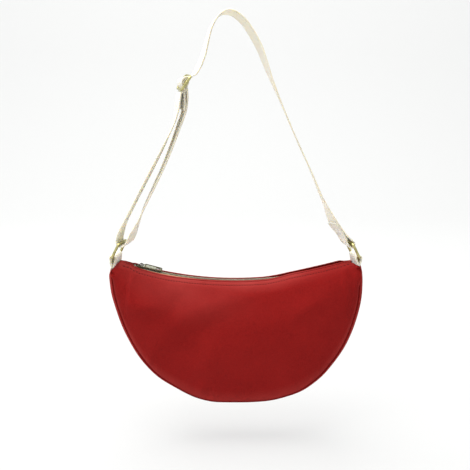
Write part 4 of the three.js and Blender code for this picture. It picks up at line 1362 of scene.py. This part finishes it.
class BAG_OT_fit_zip(bpy.types.Operator):
    """Fits the zip's tapes, its two rows of teeth and its stops"""

    bl_idname = "bag.fit_zip"
    bl_label = "Fit the zip"

    # across a tape in mm: out and up from the zip's line by the teeth, then out, up and how far short of the
    # hem's fold, and then down under the hem
    TAPE_EDGE = [(2.0, -0.5), (2.5, 0.05)]
    TAPE_FACE = [(3.4, 0, 0.9), (4.3, -0.25, 0.6)]
    TAPE_UNDER = (0.6, 1.8, 3.2, 4.8, 6.4)
    TAPE_SUNK = 2.0 * MM
    TAPE_THICKNESS = 0.5 * MM
    TAPE_COLUMNS = 41
    # a tooth: out from the zip's line and half length along the row, in mm, and share of its half height
    TOOTH_PROFILE = [
        (-0.55, 0.34, 0.55), (-0.2, 0.5, 0.85), (0.6, 0.42, 0.8),
        (1.5, 0.46, 0.9), (2.6, 0.56, 1), (3.1, 0.5, 0.8),
    ]
    TOOTH_SECTION = [(-1, -0.6), (-0.7, -1), (0.7, -1), (1, -0.6), (1, 0.6), (0.7, 1), (-0.7, 1), (-1, 0.6)]
    STOP_GAP = 0.4 * MM
    STOP_LENGTH = 2.6 * MM
    STOP_BEVEL = 0.35 * MM

    def execute(self, context):
        body = BodyShape(context.scene.bag_cut)
        shape = ZipShape(body, context.scene.bag_zip)
        for side in FACE_NAMES:
            for part in MOUTH_PARTS:
                self.tape(shape, side, part)
                self.teeth(shape, side, part)
            self.top_stop(shape, side)
        self.end_stop(shape)
        return {"FINISHED"}

    def tape(self, shape, side, part):
        """Part of a tape, from beside the teeth to under the hem."""
        body = shape.body
        x = np.linspace(*body.part_span(part, shape.tape_half), self.TAPE_COLUMNS)
        fold = body.hem_point(side, x, 0, 0)
        rows = [shape.beside(x, side * y * MM, up * MM) for y, up in self.TAPE_EDGE]
        for y, up, short in self.TAPE_FACE:
            out = np.minimum(y * MM, np.abs(fold[:, 1]) - short * MM)
            rows.append(shape.beside(x, side * out, up * MM))
        risen = np.abs(fold[:, 2] - body.mouth_height(x))
        rows += [body.hem_point(side, x, risen + down * MM, self.TAPE_SUNK) for down in self.TAPE_UNDER]
        grid = np.array(rows)
        normals = grid_normals(grid)
        if normals[len(self.TAPE_EDGE), self.TAPE_COLUMNS // 2][2] < 0:
            normals = -normals
        name = f"zip_tape_{FACE_NAMES[side]}_{part}"
        cloth = finish("zip_tape_beige")
        piece = cloth_piece(name, grid, normals, cloth_places(grid), self.TAPE_THICKNESS, cloth)
        open_with_mouth(piece, part)
        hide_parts(f"zip_tape_{FACE_NAMES[side]}")

    def teeth(self, shape, side, part):
        """Part of a row of teeth, which close between those of the other row."""
        pitch = shape.sizes.tooth_pitch
        count = int(shape.teeth_half / pitch)
        offset = 0.25 if side == FRONT else 0.75
        x = in_span((np.arange(-count, count) + offset) * pitch, shape.body.part_span(part, shape.tape_half))
        tall = shape.sizes.tooth_height / 2
        points = []
        for out, half_length, height in self.TOOTH_PROFILE:
            for along, up in self.TOOTH_SECTION:
                points.append(shape.beside(x + along * half_length * MM, side * out * MM, up * height * tall))
        tooth = ring_faces(len(self.TOOTH_PROFILE), len(self.TOOTH_SECTION))
        faces = repeated_faces(tooth, len(points), len(x))
        name = f"zip_teeth_{FACE_NAMES[side]}_{part}"
        row = np.stack(points, axis=1).reshape(-1, 3)
        piece = facing_out(new_piece(name, row, faces, finish=finish("plate_brass")))
        open_with_mouth(piece, part)
        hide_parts(f"zip_teeth_{FACE_NAMES[side]}")

    def top_stop(self, shape, side):
        """A small clamp on the tape at the closed end."""
        near = shape.teeth_half + self.STOP_GAP
        loop = rounded_box(-near - self.STOP_LENGTH, -near, 1.15 * MM, 0.5 * MM)
        loop = [(x, y + side * 2.0 * MM) for x, y in loop]
        piece = self.stop(shape, f"zip_top_stop_{FACE_NAMES[side]}", loop, 1.5 * MM)
        open_with_mouth(piece, "left_end")
        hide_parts(f"zip_stop_{FACE_NAMES[side]}")

    def end_stop(self, shape):
        """The clamp across both rows at the far end."""
        near = shape.teeth_half + self.STOP_GAP
        loop = rounded_box(near, near + self.STOP_LENGTH, 3.2 * MM, 0.6 * MM)
        piece = self.stop(shape, "zip_bottom_stop", loop, 1.6 * MM)
        ride_on(piece, "bag", "aged_brass", "zip_stop_end")

    def stop(self, shape, name, loop, half):
        """A flat clamp, laid along the zip's line."""
        piece = cut_plate(name, [loop], -half, half, self.STOP_BEVEL, finish("plate_brass"))
        return set_points(piece, shape.beside(*points_of(piece).T))


class BAG_OT_fit_slider(bpy.types.Operator):
    """Fits the zip's slider with its bail, and the pull that hangs on it"""

    bl_idname = "bag.fit_slider"
    bl_label = "Fit the slider and pull"

    CHANNEL = 1.8 * MM
    PLATE = 1.2 * MM
    BAIL_INNER = 1.7 * MM
    BAIL_OUTER = 2.9 * MM
    # radius of the post and of the bail's strip
    WIRE = 0.6 * MM
    WIRE_SIDES = 12
    PULL_THICKNESS = 1.2 * MM
    PULL_HEIGHT = 4.222 * MM
    PULL_LOW = PULL_HEIGHT - PULL_THICKNESS / 2
    PULL_HIGH = PULL_HEIGHT + PULL_THICKNESS / 2
    PULL_ROLL = math.radians(20)
    PLATE_POINTS = 13
    NECK_END = 3.5 * MM
    NECK_HALF = 3 * MM

    def execute(self, context):
        sizes = context.scene.bag_zip
        shape = ZipShape(BodyShape(context.scene.bag_cut), sizes)
        placing = shape.slider_placing()
        ride_on(moved(self.slider(sizes), placing), "zip_slider", "aged_brass", "zip_slider")
        for piece, nodes in ((self.pull(sizes), ["zip_pull"]), (self.pull_rim(sizes), [])):
            ride_on(moved(moved(piece, self.rolled()), placing), "zip_pull", "aged_brass", *nodes)
        return {"FINISHED"}

    def rolled(self):
        """The pull's tilt to the front about its own middle line, as a 3 by 4 placing."""
        c, s = math.cos(self.PULL_ROLL), math.sin(self.PULL_ROLL)
        height = self.PULL_HEIGHT
        return np.array([[1, 0, 0, 0], [0, c, -s, s * height], [0, s, c, (1 - c) * height]])

    def plate_loop(self, sizes, inset):
        """The slider's outline, wide at its mouth and narrow at its tail."""
        half = sizes.slider_length / 2 - inset
        x = np.linspace(half, -half, self.PLATE_POINTS)
        taper = smooth((x / half + 1) / 2)
        wide = between(sizes.slider_width, sizes.slider_tail, taper) / 2 - inset
        wide = wide - 0.7 * MM * np.clip(np.abs(x / half) - 0.72, 0, 1) ** 2 / 0.0784
        return list(zip(x, wide)) + list(zip(x[::-1], -wide[::-1]))

    def slider(self, sizes):
        """Two plates on a post, lips along the upper one, and the bail."""
        metal = finish("dark_brass")
        outline = self.plate_loop(sizes, 0)
        crest = self.CHANNEL + self.PLATE
        top = cut_plate("upper", [outline], self.CHANNEL, crest, 0.35 * MM, metal)
        crown = self.plate_loop(sizes, 1.1 * MM)
        boss = cut_plate("boss", [crown], crest - 0.2 * MM, crest + 0.35 * MM, 0.25 * MM, metal)
        low = cut_plate("lower", [outline], -crest, -self.CHANNEL, 0.35 * MM, metal)
        lip_top = self.CHANNEL + 0.4 * MM
        lips = [
            cut_plate("lip", [self.lip_loop(sizes, side)], 0.55 * MM, lip_top, 0.2 * MM, metal)
            for side in (-1, 1)
        ]
        line = np.array([(-2.75 * MM, 0, z * MM) for z in (-2.2, 0, 2.2)])
        post = tube_piece("post", line, self.WIRE, self.WIRE_SIDES, metal)
        return merged("zip_slider_body", [top, boss, low, *lips, post, self.bail()])

    def lip_loop(self, sizes, side):
        """The edge that turns down along one side of the upper plate."""
        outer = self.plate_loop(sizes, 0.1 * MM)[: self.PLATE_POINTS]
        inner = [(x, y - 0.75 * MM) for x, y in outer]
        loop = outer[2:-2] + inner[2:-2][::-1]
        return [(x, side * y) for x, y in loop]

    def bail(self):
        """A bent strip that the pull hangs on."""
        turns = np.radians(np.linspace(0, 180, 13))
        middle = (self.BAIL_INNER + self.BAIL_OUTER) / 2
        arch = [(middle * math.cos(t), 0, self.PULL_HEIGHT + middle * math.sin(t)) for t in turns]
        foot = self.CHANNEL + 0.5 * self.PLATE
        line = np.array([(middle, 0, foot), *arch, (-middle, 0, foot)])
        strip = tube_piece("bail", line, self.WIRE, self.WIRE_SIDES, finish("dark_brass"))
        return set_points(strip, points_of(strip) * np.array([1, 2, 1]))

    def pull(self, sizes):
        """A flat tab, hung by the bar at its end and with a hole at the other."""
        outline = self.pull_loop(sizes.pull_length, sizes.pull_width / 2, 0)
        window = rounded_box(0.7 * MM, self.NECK_END, 1.8 * MM, 0.4 * MM)
        loops = [outline, window, self.hole(sizes)]
        metal = finish("plate_brass")
        return cut_plate("zip_pull_tab", loops, self.PULL_LOW, self.PULL_HIGH, 0.3 * MM, metal)

    def hole(self, sizes):
        """The hole at the pull's end."""
        return rounded_box(sizes.pull_length - 8 * MM, sizes.pull_length - 3 * MM, 1.5 * MM, 1.3 * MM)

    def pull_rim(self, sizes):
        """The dark raised rim of the pull, and the collar of its hole."""
        metal = finish("dark_brass")
        half = sizes.pull_width / 2
        end = sizes.pull_length
        low, high, bevel = self.PULL_LOW, self.PULL_HIGH, 0.15 * MM
        outer = self.pull_loop(end + 0.15 * MM, half + 0.15 * MM, 0, 4.2 * MM)
        inner = self.pull_loop(end, half, 1.4 * MM, 5.6 * MM)
        rim = cut_plate("rim", [outer, inner], low - 0.1 * MM, high + 0.3 * MM, bevel, metal)
        eyelet = rounded_box(end - 8.8 * MM, end - 2.2 * MM, 2.3 * MM, 2 * MM)
        loops = [eyelet, self.hole(sizes)]
        collar = cut_plate("collar", loops, high - 0.1 * MM, high + 0.28 * MM, bevel, metal)
        return merged("zip_pull_rim", [rim, collar])

    def pull_loop(self, end, half, inset, start=-0.7 * MM):
        """The tab's outline: a narrow neck, shoulders and a rounded end. It can start past the neck."""
        corner = 2.2 * MM
        side = -half + inset
        turns = np.radians(np.linspace(-90, 0, 6))
        lower = [
            (end - inset - corner + corner * math.cos(t), side + corner + corner * math.sin(t)) for t in turns
        ]
        neck = [(start, -self.NECK_HALF), (self.NECK_END, -self.NECK_HALF), (5.5 * MM, side)]
        if start > self.NECK_END:
            neck = [(start + 0.6 * MM, side + 0.5 * MM), (start + 1.6 * MM, side)]
        loop = neck + lower
        return loop + [(x, -y) for x, y in reversed(loop)]


# Tabs, rings, strap and adjuster


def low_bar(end, cut):
    """The middle of a ring's low bar: the frame has the left one, and the right one mirrors it."""
    place = joint_place("bag_swing")
    if end == RIGHT:
        place[0] = 2 * cut.body_shift - place[0]
    return place


class StrapShape:
    """The strap's route from its sewn end at the right ring over the top to its end at the adjuster."""

    # the right side: up from the ring's bar along the strap, out from its middle, and yaw
    RIGHT_SIDE = [
        (36.5, -3.5, 22), (30, -3.5, 22), (25, -3.4, 22), (18, -3.0, 19), (12, -3.7, 15), (6, -4.7, 12),
        (1, -5.0, 10), (-3, -4.0, 9), (-4.4, -1.2, 8), (-3.2, 1.8, 8), (0.6, 3.4, 8), (5, 2.8, 9),
        (10, 1.4, 12), (16, -0.1, 17), (25, -1.3, 22), (37, -1.4, 22), (48, 0.4, 13), (60, 3.0, 4),
        (75, 5.4, -1),
    ]
    # the right leg and the crown: x, height and yaw
    CROWN = [
        (107, -191.3, -5), (91.5, -160, -7), (76.4, -128, -7), (63.4, -100, -4), (52.5, -76, 2),
        (44.2, -55, 9), (36.8, -37.4, 13), (28.4, -22.9, 14), (19.3, -10.4, 13), (9.9, -2.6, 13),
        (2.2, 0.8, 13), (-5.2, 0.8, 13), (-13.4, -4.2, 13), (-19.2, -11.8, 13),
    ]
    # how far the crown turns from square, and how far below the top that turn has died away
    CROWN_YAW = 13
    CROWN_DROP = 82 * MM
    # the left side: up along the doubled run, off it to the inner side, and yaw
    UPPER = [(294, 0.1, 13), (280, 2.2, 15), (266, 4.4, 18), (254, 4.9, 20), (245, 4.3, 20)]
    # in the adjuster: up along its frame from the middle bar, and off it to the inner side
    BAR = (225.3, -4.5)
    OVER_BAR = [(15, 4.7), (11.5, 3.2), (9, 2.4), (7.2, 1), (6, -1.2), (4.3, -3.3), (1.5, -4.6)]
    UNDER_BAR = [
        (-1.5, -4.4), (-3.9, -2.9), (-5.4, -0.6), (-6.8, 1.4), (-8.6, 2.45), (-10.5, 2.7), (-14, 2.9),
    ]
    # down to the left ring, round its bar and back up, as for the left side
    LOWER = [
        (203, -2.6, 20), (197, -0.9, 19), (190, 1.2, 17), (176, 3.4, 13), (160, 4.1, 8), (146, 3.8, 4),
        (133, 3.1, 2), (106, 1.5, 0), (83.5, -0.1, 0), (57, -1.7, 0), (36, -3.0, 0), (22, -3.6, -3),
        (13, -3.2, -7), (6, -2.3, -9), (0.6, -0.9, -8), (-2.4, 1.5, -7), (-3.2, 4.4, -7), (-2.4, 7.6, -8),
        (0.5, 10.6, -10), (5, 12.6, -13), (11, 13.1, -14), (18, 12.9, -12), (26, 12.8, -6), (36, 12.6, 2),
        (54, 11.8, 9), (84, 12.7, 13), (110, 13.5, 15), (142, 13.0, 17), (160, 12.1, 18), (178, 10.9, 20),
        (194.6, 9.4, 20), (205, 6.6, 20), (212, 3.6, 20), (217.5, 0.6, 20), (221, -1.3, 20),
    ]
    # the end: folded round the middle bar, and down again inside the run
    FOLD_RADIUS = 2.55
    TAIL = [(-2.3, -1.9), (-3.4, -0.1), (-4.5, 2.0), (-6.6, 4.1), (-10, 5.1)]
    TAIL_END = [(208, 1.7, 20), (201, 5.0, 20), (194.2, 7.2, 20)]
    # from the left ring's bar out to the foot of the run
    FOOT_RADIUS = 3.7 * MM
    STEP = 1.25 * MM

    def __init__(self, sizes):
        self.sizes = sizes
        self.left_bar = joint_place("left_ring_swing")
        self.right_bar = joint_place("right_ring_swing")
        self.run_up = -unit(np.array(joints["adjuster_slide"]["axis"], float))
        inner = np.array([self.run_up[2], 0, -self.run_up[0]])
        self.run_foot = self.left_bar - inner * self.FOOT_RADIUS

    def beside_right(self, along, out):
        """A place beside the strap's right foot."""
        lean = self.sizes.right_lean
        up = np.array([-math.sin(lean), 0, math.cos(lean)])
        away = np.array([math.cos(lean), 0, math.sin(lean)])
        return self.right_bar + up * along + away * out

    def beside_run(self, along, off, yaw):
        """A place beside the doubled run of the strap."""
        sideways = level_across(math.radians(yaw), self.run_up)
        return self.run_foot + self.run_up * along + np.cross(sideways, self.run_up) * off

    def in_adjuster(self, along, off):
        """A place along the adjuster's frame from its middle bar and off it, as a place beside the run."""
        lean = self.sizes.adjuster_lean
        bar_along, bar_off = self.BAR
        return (
            bar_along + along * math.cos(lean) - off * math.sin(lean),
            bar_off + along * math.sin(lean) + off * math.cos(lean),
            math.degrees(self.sizes.adjuster_yaw),
        )

    def controls(self):
        """The whole route as rows of x, y, z and yaw, and the rows at which the webbing is cut."""
        rows = [(*self.beside_right(along * MM, out * MM), yaw) for along, out, yaw in self.RIGHT_SIDE]
        rows += [(x * MM, 0, z * MM, yaw) for x, z, yaw in self.CROWN]
        radius = self.FOLD_RADIUS
        turns = np.radians([5, 40, 75, 110, 145, 180])
        round_bar = [(radius * math.sin(t), radius * math.cos(t)) for t in turns]
        over, under, fold, tail = (
            [self.in_adjuster(*place) for place in places]
            for places in (self.OVER_BAR, self.UNDER_BAR, round_bar, self.TAIL)
        )
        for along, off, yaw in self.UPPER + over + under + self.LOWER + fold + tail + self.TAIL_END:
            rows.append((*self.beside_run(along * MM, off * MM, yaw), yaw))
        rows = np.array(rows)
        near_top = 1 - smooth(-rows[:, 2] / self.CROWN_DROP)
        rows[:, 1] += rows[:, 0] * math.tan(math.radians(self.CROWN_YAW)) * near_top
        threaded = len(self.RIGHT_SIDE) + len(self.CROWN) + len(self.UPPER) - 2
        return rows, threaded, threaded + 1 + len(over)

    def webbing(self):
        """The strap as one length of webbing, with the lengths at which it is cut into pieces."""
        controls, threaded, bulge = self.controls()
        made = Webbing(controls, self.STEP, self.sizes.width, self.sizes.thickness)
        knots = travelled(controls)
        return made, knots[threaded], knots[bulge]


class BAG_OT_hang_tabs(bpy.types.Operator):
    """Hangs the two webbing tabs that hold the rings at the corners"""

    bl_idname = "bag.hang_tabs"
    bl_label = "Hang the tabs"

    RADIUS = 3.6 * MM
    STEP = 0.9 * MM
    # both legs below the ring's bar: off its middle and up from the gusset's end in mm, and yaw
    INNER = [(1.6, -9, 12), (1.4, -4, 12), (1.2, 1, 12), (1.9, 4.6, 10)]
    OUTER = [(-2.6, 4.4, 8), (-1.4, 1, 8), (-1.0, -4, 8), (-0.8, -9, 8)]
    YAW = 8

    def execute(self, context):
        sizes = context.scene.bag_strap
        body = BodyShape(context.scene.bag_cut)
        for end, name in END_NAMES.items():
            line = np.array(self.line(body, end))
            rows = np.column_stack([line[:, 0], np.zeros(len(line)), line[:, 1], end * line[:, 2]])
            web = Webbing(rows, self.STEP, sizes.width, sizes.thickness)
            piece = web.piece(f"{name}_tab_webbing", 0, web.at[-1], finish("webbing_cream"))
            ride_on(piece, "bag", "webbing", f"{name}_tab")
        return {"FINISHED"}

    def line(self, body, end):
        """The tab's way: up from inside the gusset's end, over the ring's low bar and down again."""
        cut = body.cut
        bar_x, _, bar_z = low_bar(end, cut)
        _, gusset_z = body.outline(body.seam_end(end, GUSSET_ANGLES), cut.canvas)
        low = gusset_z - bar_z
        inner, outer = (
            [(bar_x - end * off * MM, bar_z + (low + up * MM), yaw) for off, up, yaw in leg]
            for leg in (self.INNER, self.OUTER)
        )
        loop = [
            (bar_x + end * self.RADIUS * math.cos(turn), bar_z + self.RADIUS * math.sin(turn), self.YAW)
            for turn in np.radians(np.linspace(195, -18, 10))
        ]
        return inner + loop + outer


class BAG_OT_bend_rings(bpy.types.Operator):
    """Bends the two rectangular wire rings"""

    bl_idname = "bag.bend_rings"
    bl_label = "Bend the rings"

    SIDES = 20

    def execute(self, context):
        sizes = context.scene.bag_strap
        for end, name in END_NAMES.items():
            low = low_bar(end, context.scene.bag_cut)
            high = joint_place(f"{name}_ring_swing")
            up = unit(high - low)
            across = level_across(end * sizes.ring_yaw, up)
            half_width = sizes.ring_width / 2
            half_height = np.linalg.norm(high - low) / 2
            line = wire_loop((low + high) / 2, up, across, half_width, half_height, sizes.ring_corner)
            metal = finish("wire_brass")
            piece = tube_piece(f"{name}_ring_wire", line, sizes.wire / 2, self.SIDES, metal, endless=True)
            ride_on(piece, f"{name}_ring", "brass", f"{name}_ring")
        return {"FINISHED"}


# points of a loop of wire, and at each corner of its first rough line
WIRE_POINTS = 96
WIRE_CORNER = 9


def wire_loop(centre, up, across, half_width, half_height, corner):
    """A rectangle with rounded corners in space, as a closed line of points."""
    flat = np.array(rounded_box(-half_width, half_width, half_height, corner, WIRE_CORNER))
    rough = centre + flat[:, :1] * across + flat[:, 1:] * up
    rough = np.concatenate([rough, rough[:1]])
    at = travelled(rough)
    even = np.linspace(0, at[-1], WIRE_POINTS, endpoint=False)
    return read_along(even, at, rough)


class BAG_OT_thread_strap(bpy.types.Operator):
    """Threads the strap through the rings and the adjuster, and sews its two ends"""

    bl_idname = "bag.thread_strap"
    bl_label = "Thread the strap"

    # heights on the run, in mm, that are handed to follow_adjuster
    UPPER_FOLLOWS = (254, 243)
    LOWER_FOLLOWS = (30, 185)
    # boxes of stitches: half their width, from which to which length from each end, pitch and thread's radius
    BOX_HALF = 9.5 * MM
    FLAP_BOX = (3 * MM, 13 * MM)
    TAIL_BOX = (15 * MM, 3 * MM)
    STITCH_PITCH = 3 * MM
    STITCH_RADIUS = 0.35 * MM

    def execute(self, context):
        sizes = context.scene.bag_strap
        shape = StrapShape(sizes)
        web, threaded, bulge = shape.webbing()
        cloth = finish("webbing_cream")
        main = web.piece("strap_main", 0, threaded, cloth, closed=(True, False))
        ride_on(main, "strap", "webbing", "strap_webbing")
        upper = web.piece("strap_upper_run", threaded, bulge, cloth, closed=(False, False))
        self.follow_adjuster(upper, shape, *self.UPPER_FOLLOWS)
        lower = web.piece("strap_lower_run", bulge, web.at[-1], cloth, closed=(False, True))
        self.follow_adjuster(lower, shape, *self.LOWER_FOLLOWS)
        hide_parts("strap_return", "strap_end_fold")
        self.box("flap_stitches", web, *self.FLAP_BOX, "strap")
        self.box("tail_stitches", web, *(web.at[-1] - short for short in self.TAIL_BOX), "adjuster")
        return {"FINISHED"}

    def follow_adjuster(self, piece, shape, start, end):
        """Bakes the webbing's placing into its mesh; shape, start and end are not used."""
        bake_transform(piece)

    def box(self, name, web, near, far, body):
        """A rectangle of stitches between two lengths along the webbing, on both of its faces."""
        half = self.BOX_HALF
        path = [(near, -half), (far, -half), (far, half), (near, half), (near, -half)]
        rows = [web.stitch_row(path, self.STITCH_PITCH, face) for face in (-1, 1)]
        starts, ends, normals = (np.concatenate([row[n] for row in rows]) for n in range(3))
        thread = finish("webbing_thread")
        piece = stitch_piece(name, starts, ends, normals, self.STITCH_RADIUS, thread)
        ride_on(piece, body, "webbing")


class BAG_OT_fit_adjuster(bpy.types.Operator):
    """Fits the three-bar adjuster to the strap"""

    bl_idname = "bag.fit_adjuster"
    bl_label = "Fit the adjuster"

    CORNER = 3.2 * MM
    SIDES = 18
    # the middle bar's ends and the sleeves round them by the bars' radius, and points along a sleeve in mm
    BAR_REACH = 0.9
    BAR_SIZE = 0.95
    SLEEVE_SIZE = 1.5
    SLEEVE = (-1.9, -0.95, 0, 0.95, 1.9)

    def execute(self, context):
        sizes = context.scene.bag_strap
        shape = StrapShape(sizes)
        along, off = shape.BAR
        yaw = sizes.adjuster_yaw
        centre = shape.beside_run(along * MM, off * MM, math.degrees(yaw))
        across = level_across(yaw, shape.run_up)
        inner = np.cross(across, shape.run_up)
        up = unit(shape.run_up * math.cos(sizes.adjuster_lean) + inner * math.sin(sizes.adjuster_lean))
        metal = finish("wire_brass")
        half = sizes.adjuster_width / 2
        radius = sizes.adjuster_wire / 2
        line = wire_loop(centre, up, across, half, sizes.adjuster_pitch, self.CORNER)
        on_rail = smooth((np.abs((line - centre) @ across) / half - 0.93) / 0.06)
        radii = between(radius, sizes.adjuster_rail / 2, on_rail)
        rails = tube_piece("rails", line, radii, self.SIDES, metal, endless=True)
        reach = half + radius * self.BAR_REACH
        line = np.array([centre + across * reach * s for s in np.linspace(-1, 1, 9)])
        bar = tube_piece("bar", line, radius * self.BAR_SIZE, self.SIDES, metal)
        sleeves = []
        for side in (-1, 1):
            middle = centre + across * half * side
            line = np.array([middle + up * s * MM for s in self.SLEEVE])
            sleeves.append(tube_piece("sleeve", line, radius * self.SLEEVE_SIZE, self.SIDES, metal))
        piece = merged("strap_adjuster_frame", [rails, bar, *sleeves])
        ride_on(piece, "adjuster", "brass", "strap_adjuster")
        return {"FINISHED"}


# The stage


class BAG_OT_set_stage(bpy.types.Operator):
    """Sets the pale floor, the soft light and the camera"""

    bl_idname = "bag.set_stage"
    bl_label = "Set the stage"

    # the sweep's half width and front edge, its bend and its top, in metres
    SWEEP_HALF = 4.0
    BEND_START = 1.6
    BEND_RADIUS = 0.9
    SWEEP_TOP = 3.5
    # where the floor glows least, and how far off it glows most
    GLOW_MIDDLE = -0.1
    GLOW_REACH = 0.8
    LAMP_PLACE = (-0.4, -0.08, 2.15)
    LAMP_AIM = (0, 0, -0.4)
    LAMP_SIZE = 2.1
    WINDOW_WAY = (-0.8, -0.25, 0.55)
    CAMERA_PLACE = (7 * MM, -600 * MM, -125.5 * MM)
    CAMERA_TILT = math.radians(75.8)
    CAMERA_LENS = 34.85

    def execute(self, context):
        stage = context.scene.bag_stage
        self.sweep(stage)
        self.lamps(stage)
        self.camera(context)
        context.scene.view_settings.view_transform = "Standard"
        return {"FINISHED"}

    def sweep(self, stage):
        """A floor that curves up into a backdrop."""
        low = -stage.floor_drop
        start, radius = self.BEND_START, self.BEND_RADIUS
        turns = np.radians(np.linspace(0, 90, 13))
        bend = [(start + radius * math.sin(t), low + radius * (1 - math.cos(t))) for t in turns]
        floor = [(-self.SWEEP_HALF, low), (-1.0, low), (0.4, low)]
        y, z = np.array([*floor, *bend, (start + radius, self.SWEEP_TOP)]).T
        across = np.linspace(-self.SWEEP_HALF, self.SWEEP_HALF, 5)
        grid = np.stack([np.stack([np.full(len(y), x), y, z], axis=-1) for x in across], axis=1)
        piece = new_piece("floor_sweep", grid.reshape(-1, 3), grid_faces(len(y), len(across)))
        constants = {"Base_Color": opaque(stage.floor_shade), "Specular_IOR_Level": 0}
        made, tree, _ = new_finish("pale_sweep", 0.95, **constants)
        shader = tree.nodes["Principled BSDF"]
        amount = scaled(tree, self.seen(tree), stage.glow)
        position = add_node(tree, "ShaderNodeNewGeometry").outputs["Position"]
        place = add_node(tree, "ShaderNodeSeparateXYZ", {0: position})
        far = calculate(tree, "ABSOLUTE", calculate(tree, "SUBTRACT", place.outputs["Y"], self.GLOW_MIDDLE))
        strength = remap(tree, far, 0.0, self.GLOW_REACH, stage.floor_glow, stage.wall_glow)
        glow = add_node(tree, "ShaderNodeEmission", {"Color": opaque(stage.floor), "Strength": strength})
        both = add_node(tree, "ShaderNodeMixShader", {0: amount, 1: shader.outputs[0], 2: glow.outputs[0]})
        tree.links.new(both.outputs[0], tree.nodes["Material Output"].inputs["Surface"])
        piece.data.materials.append(made)

    def seen(self, tree):
        """One where the camera looks, itself or by way of metal, and zero where light is thrown."""
        path = add_node(tree, "ShaderNodeLightPath").outputs
        either = calculate(tree, "MAXIMUM", path["Is Camera Ray"], path["Is Glossy Ray"])
        return calculate(tree, "MAXIMUM", either, path["Is Transmission Ray"])

    def lamps(self, stage):
        """One broad soft lamp overhead, even light from all round, and more from high on the left."""
        lamp = bpy.data.lights.new("overhead_softbox", "AREA")
        lamp.energy = stage.lamp_power
        lamp.size = self.LAMP_SIZE
        piece = linked("overhead_softbox", lamp)
        piece.location = self.LAMP_PLACE
        x, y, z = np.array(self.LAMP_AIM) - np.array(piece.location)
        piece.rotation_euler = (math.atan2(math.hypot(x, y), -z), 0, math.atan2(-x, y))
        world = bpy.data.worlds.new("even_light")
        world.use_nodes = True
        tree = world.node_tree
        around = add_node(tree, "ShaderNodeTexCoord").outputs["Generated"]
        way = add_node(tree, "ShaderNodeSeparateXYZ", {0: around})
        aside = calculate(tree, "ABSOLUTE", way.outputs["X"])
        ways = {0: around, 1: self.WINDOW_WAY}
        towards = add_node(tree, "ShaderNodeVectorMath", ways, operation="DOT_PRODUCT").outputs["Value"]
        window = remap(tree, towards, 0.55, 0.95, 0.0, stage.window)
        tree.nodes["Background"].inputs["Color"].default_value = (1, 1, 1, 1)
        strength = remap(tree, aside, 0.4, 0.95, stage.fill, stage.side_fill)
        strength = calculate(tree, "ADD", strength, window)
        strength = calculate(tree, "MAXIMUM", strength, self.seen(tree))
        tree.links.new(strength, tree.nodes["Background"].inputs["Strength"])
        bpy.context.scene.world = world

    def camera(self, context):
        """The camera, in front of the bag and looking a little down on it."""
        lens = bpy.data.cameras.new("camera")
        lens.sensor_width = 36
        lens.lens = self.CAMERA_LENS
        lens.clip_start = 0.02
        piece = linked("camera", lens)
        piece.location = self.CAMERA_PLACE
        piece.rotation_euler = (self.CAMERA_TILT, 0, 0)
        context.scene.camera = piece


class BAG_PT_workshop(bpy.types.Panel):
    """Settings and steps of the bag"""

    bl_idname = "BAG_PT_workshop"
    bl_label = "Half moon bag"
    bl_space_type = "VIEW_3D"
    bl_region_type = "UI"
    bl_category = "Bag"

    def draw(self, context):
        for name in SETTINGS:
            column = self.layout.column(align=True)
            group = getattr(context.scene, name)
            for label in type(group).__annotations__:
                column.prop(group, label)
        steps = self.layout.column(align=True)
        for step in STEPS:
            steps.operator(step.bl_idname)


SETTINGS = {
    "bag_cut": BagCutSettings,
    "bag_zip": ZipSettings,
    "bag_strap": StrapSettings,
    "bag_finish": FinishSettings,
    "bag_stage": StageSettings,
}
STEPS = (
    BAG_OT_sew_canvas,
    BAG_OT_sew_gusset,
    BAG_OT_sew_lining,
    BAG_OT_fit_zip,
    BAG_OT_fit_slider,
    BAG_OT_hang_tabs,
    BAG_OT_bend_rings,
    BAG_OT_thread_strap,
    BAG_OT_fit_adjuster,
    BAG_OT_set_stage,
)


def register():
    for group in (*SETTINGS.values(), *STEPS, BAG_PT_workshop):
        bpy.utils.register_class(group)
    for name, group in SETTINGS.items():
        setattr(bpy.types.Scene, name, bpy.props.PointerProperty(type=group))


def unregister():
    for name in SETTINGS:
        delattr(bpy.types.Scene, name)
    for group in reversed((*SETTINGS.values(), *STEPS, BAG_PT_workshop)):
        bpy.utils.unregister_class(group)


def main():
    """Makes every piece in order."""
    register()
    bpy.ops.bag.sew_canvas()
    bpy.ops.bag.sew_gusset()
    bpy.ops.bag.sew_lining()
    bpy.ops.bag.fit_zip()
    bpy.ops.bag.fit_slider()
    bpy.ops.bag.hang_tabs()
    bpy.ops.bag.bend_rings()
    bpy.ops.bag.thread_strap()
    bpy.ops.bag.fit_adjuster()
    bpy.ops.bag.set_stage()
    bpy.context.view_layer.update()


if __name__ == "__main__":
    main()
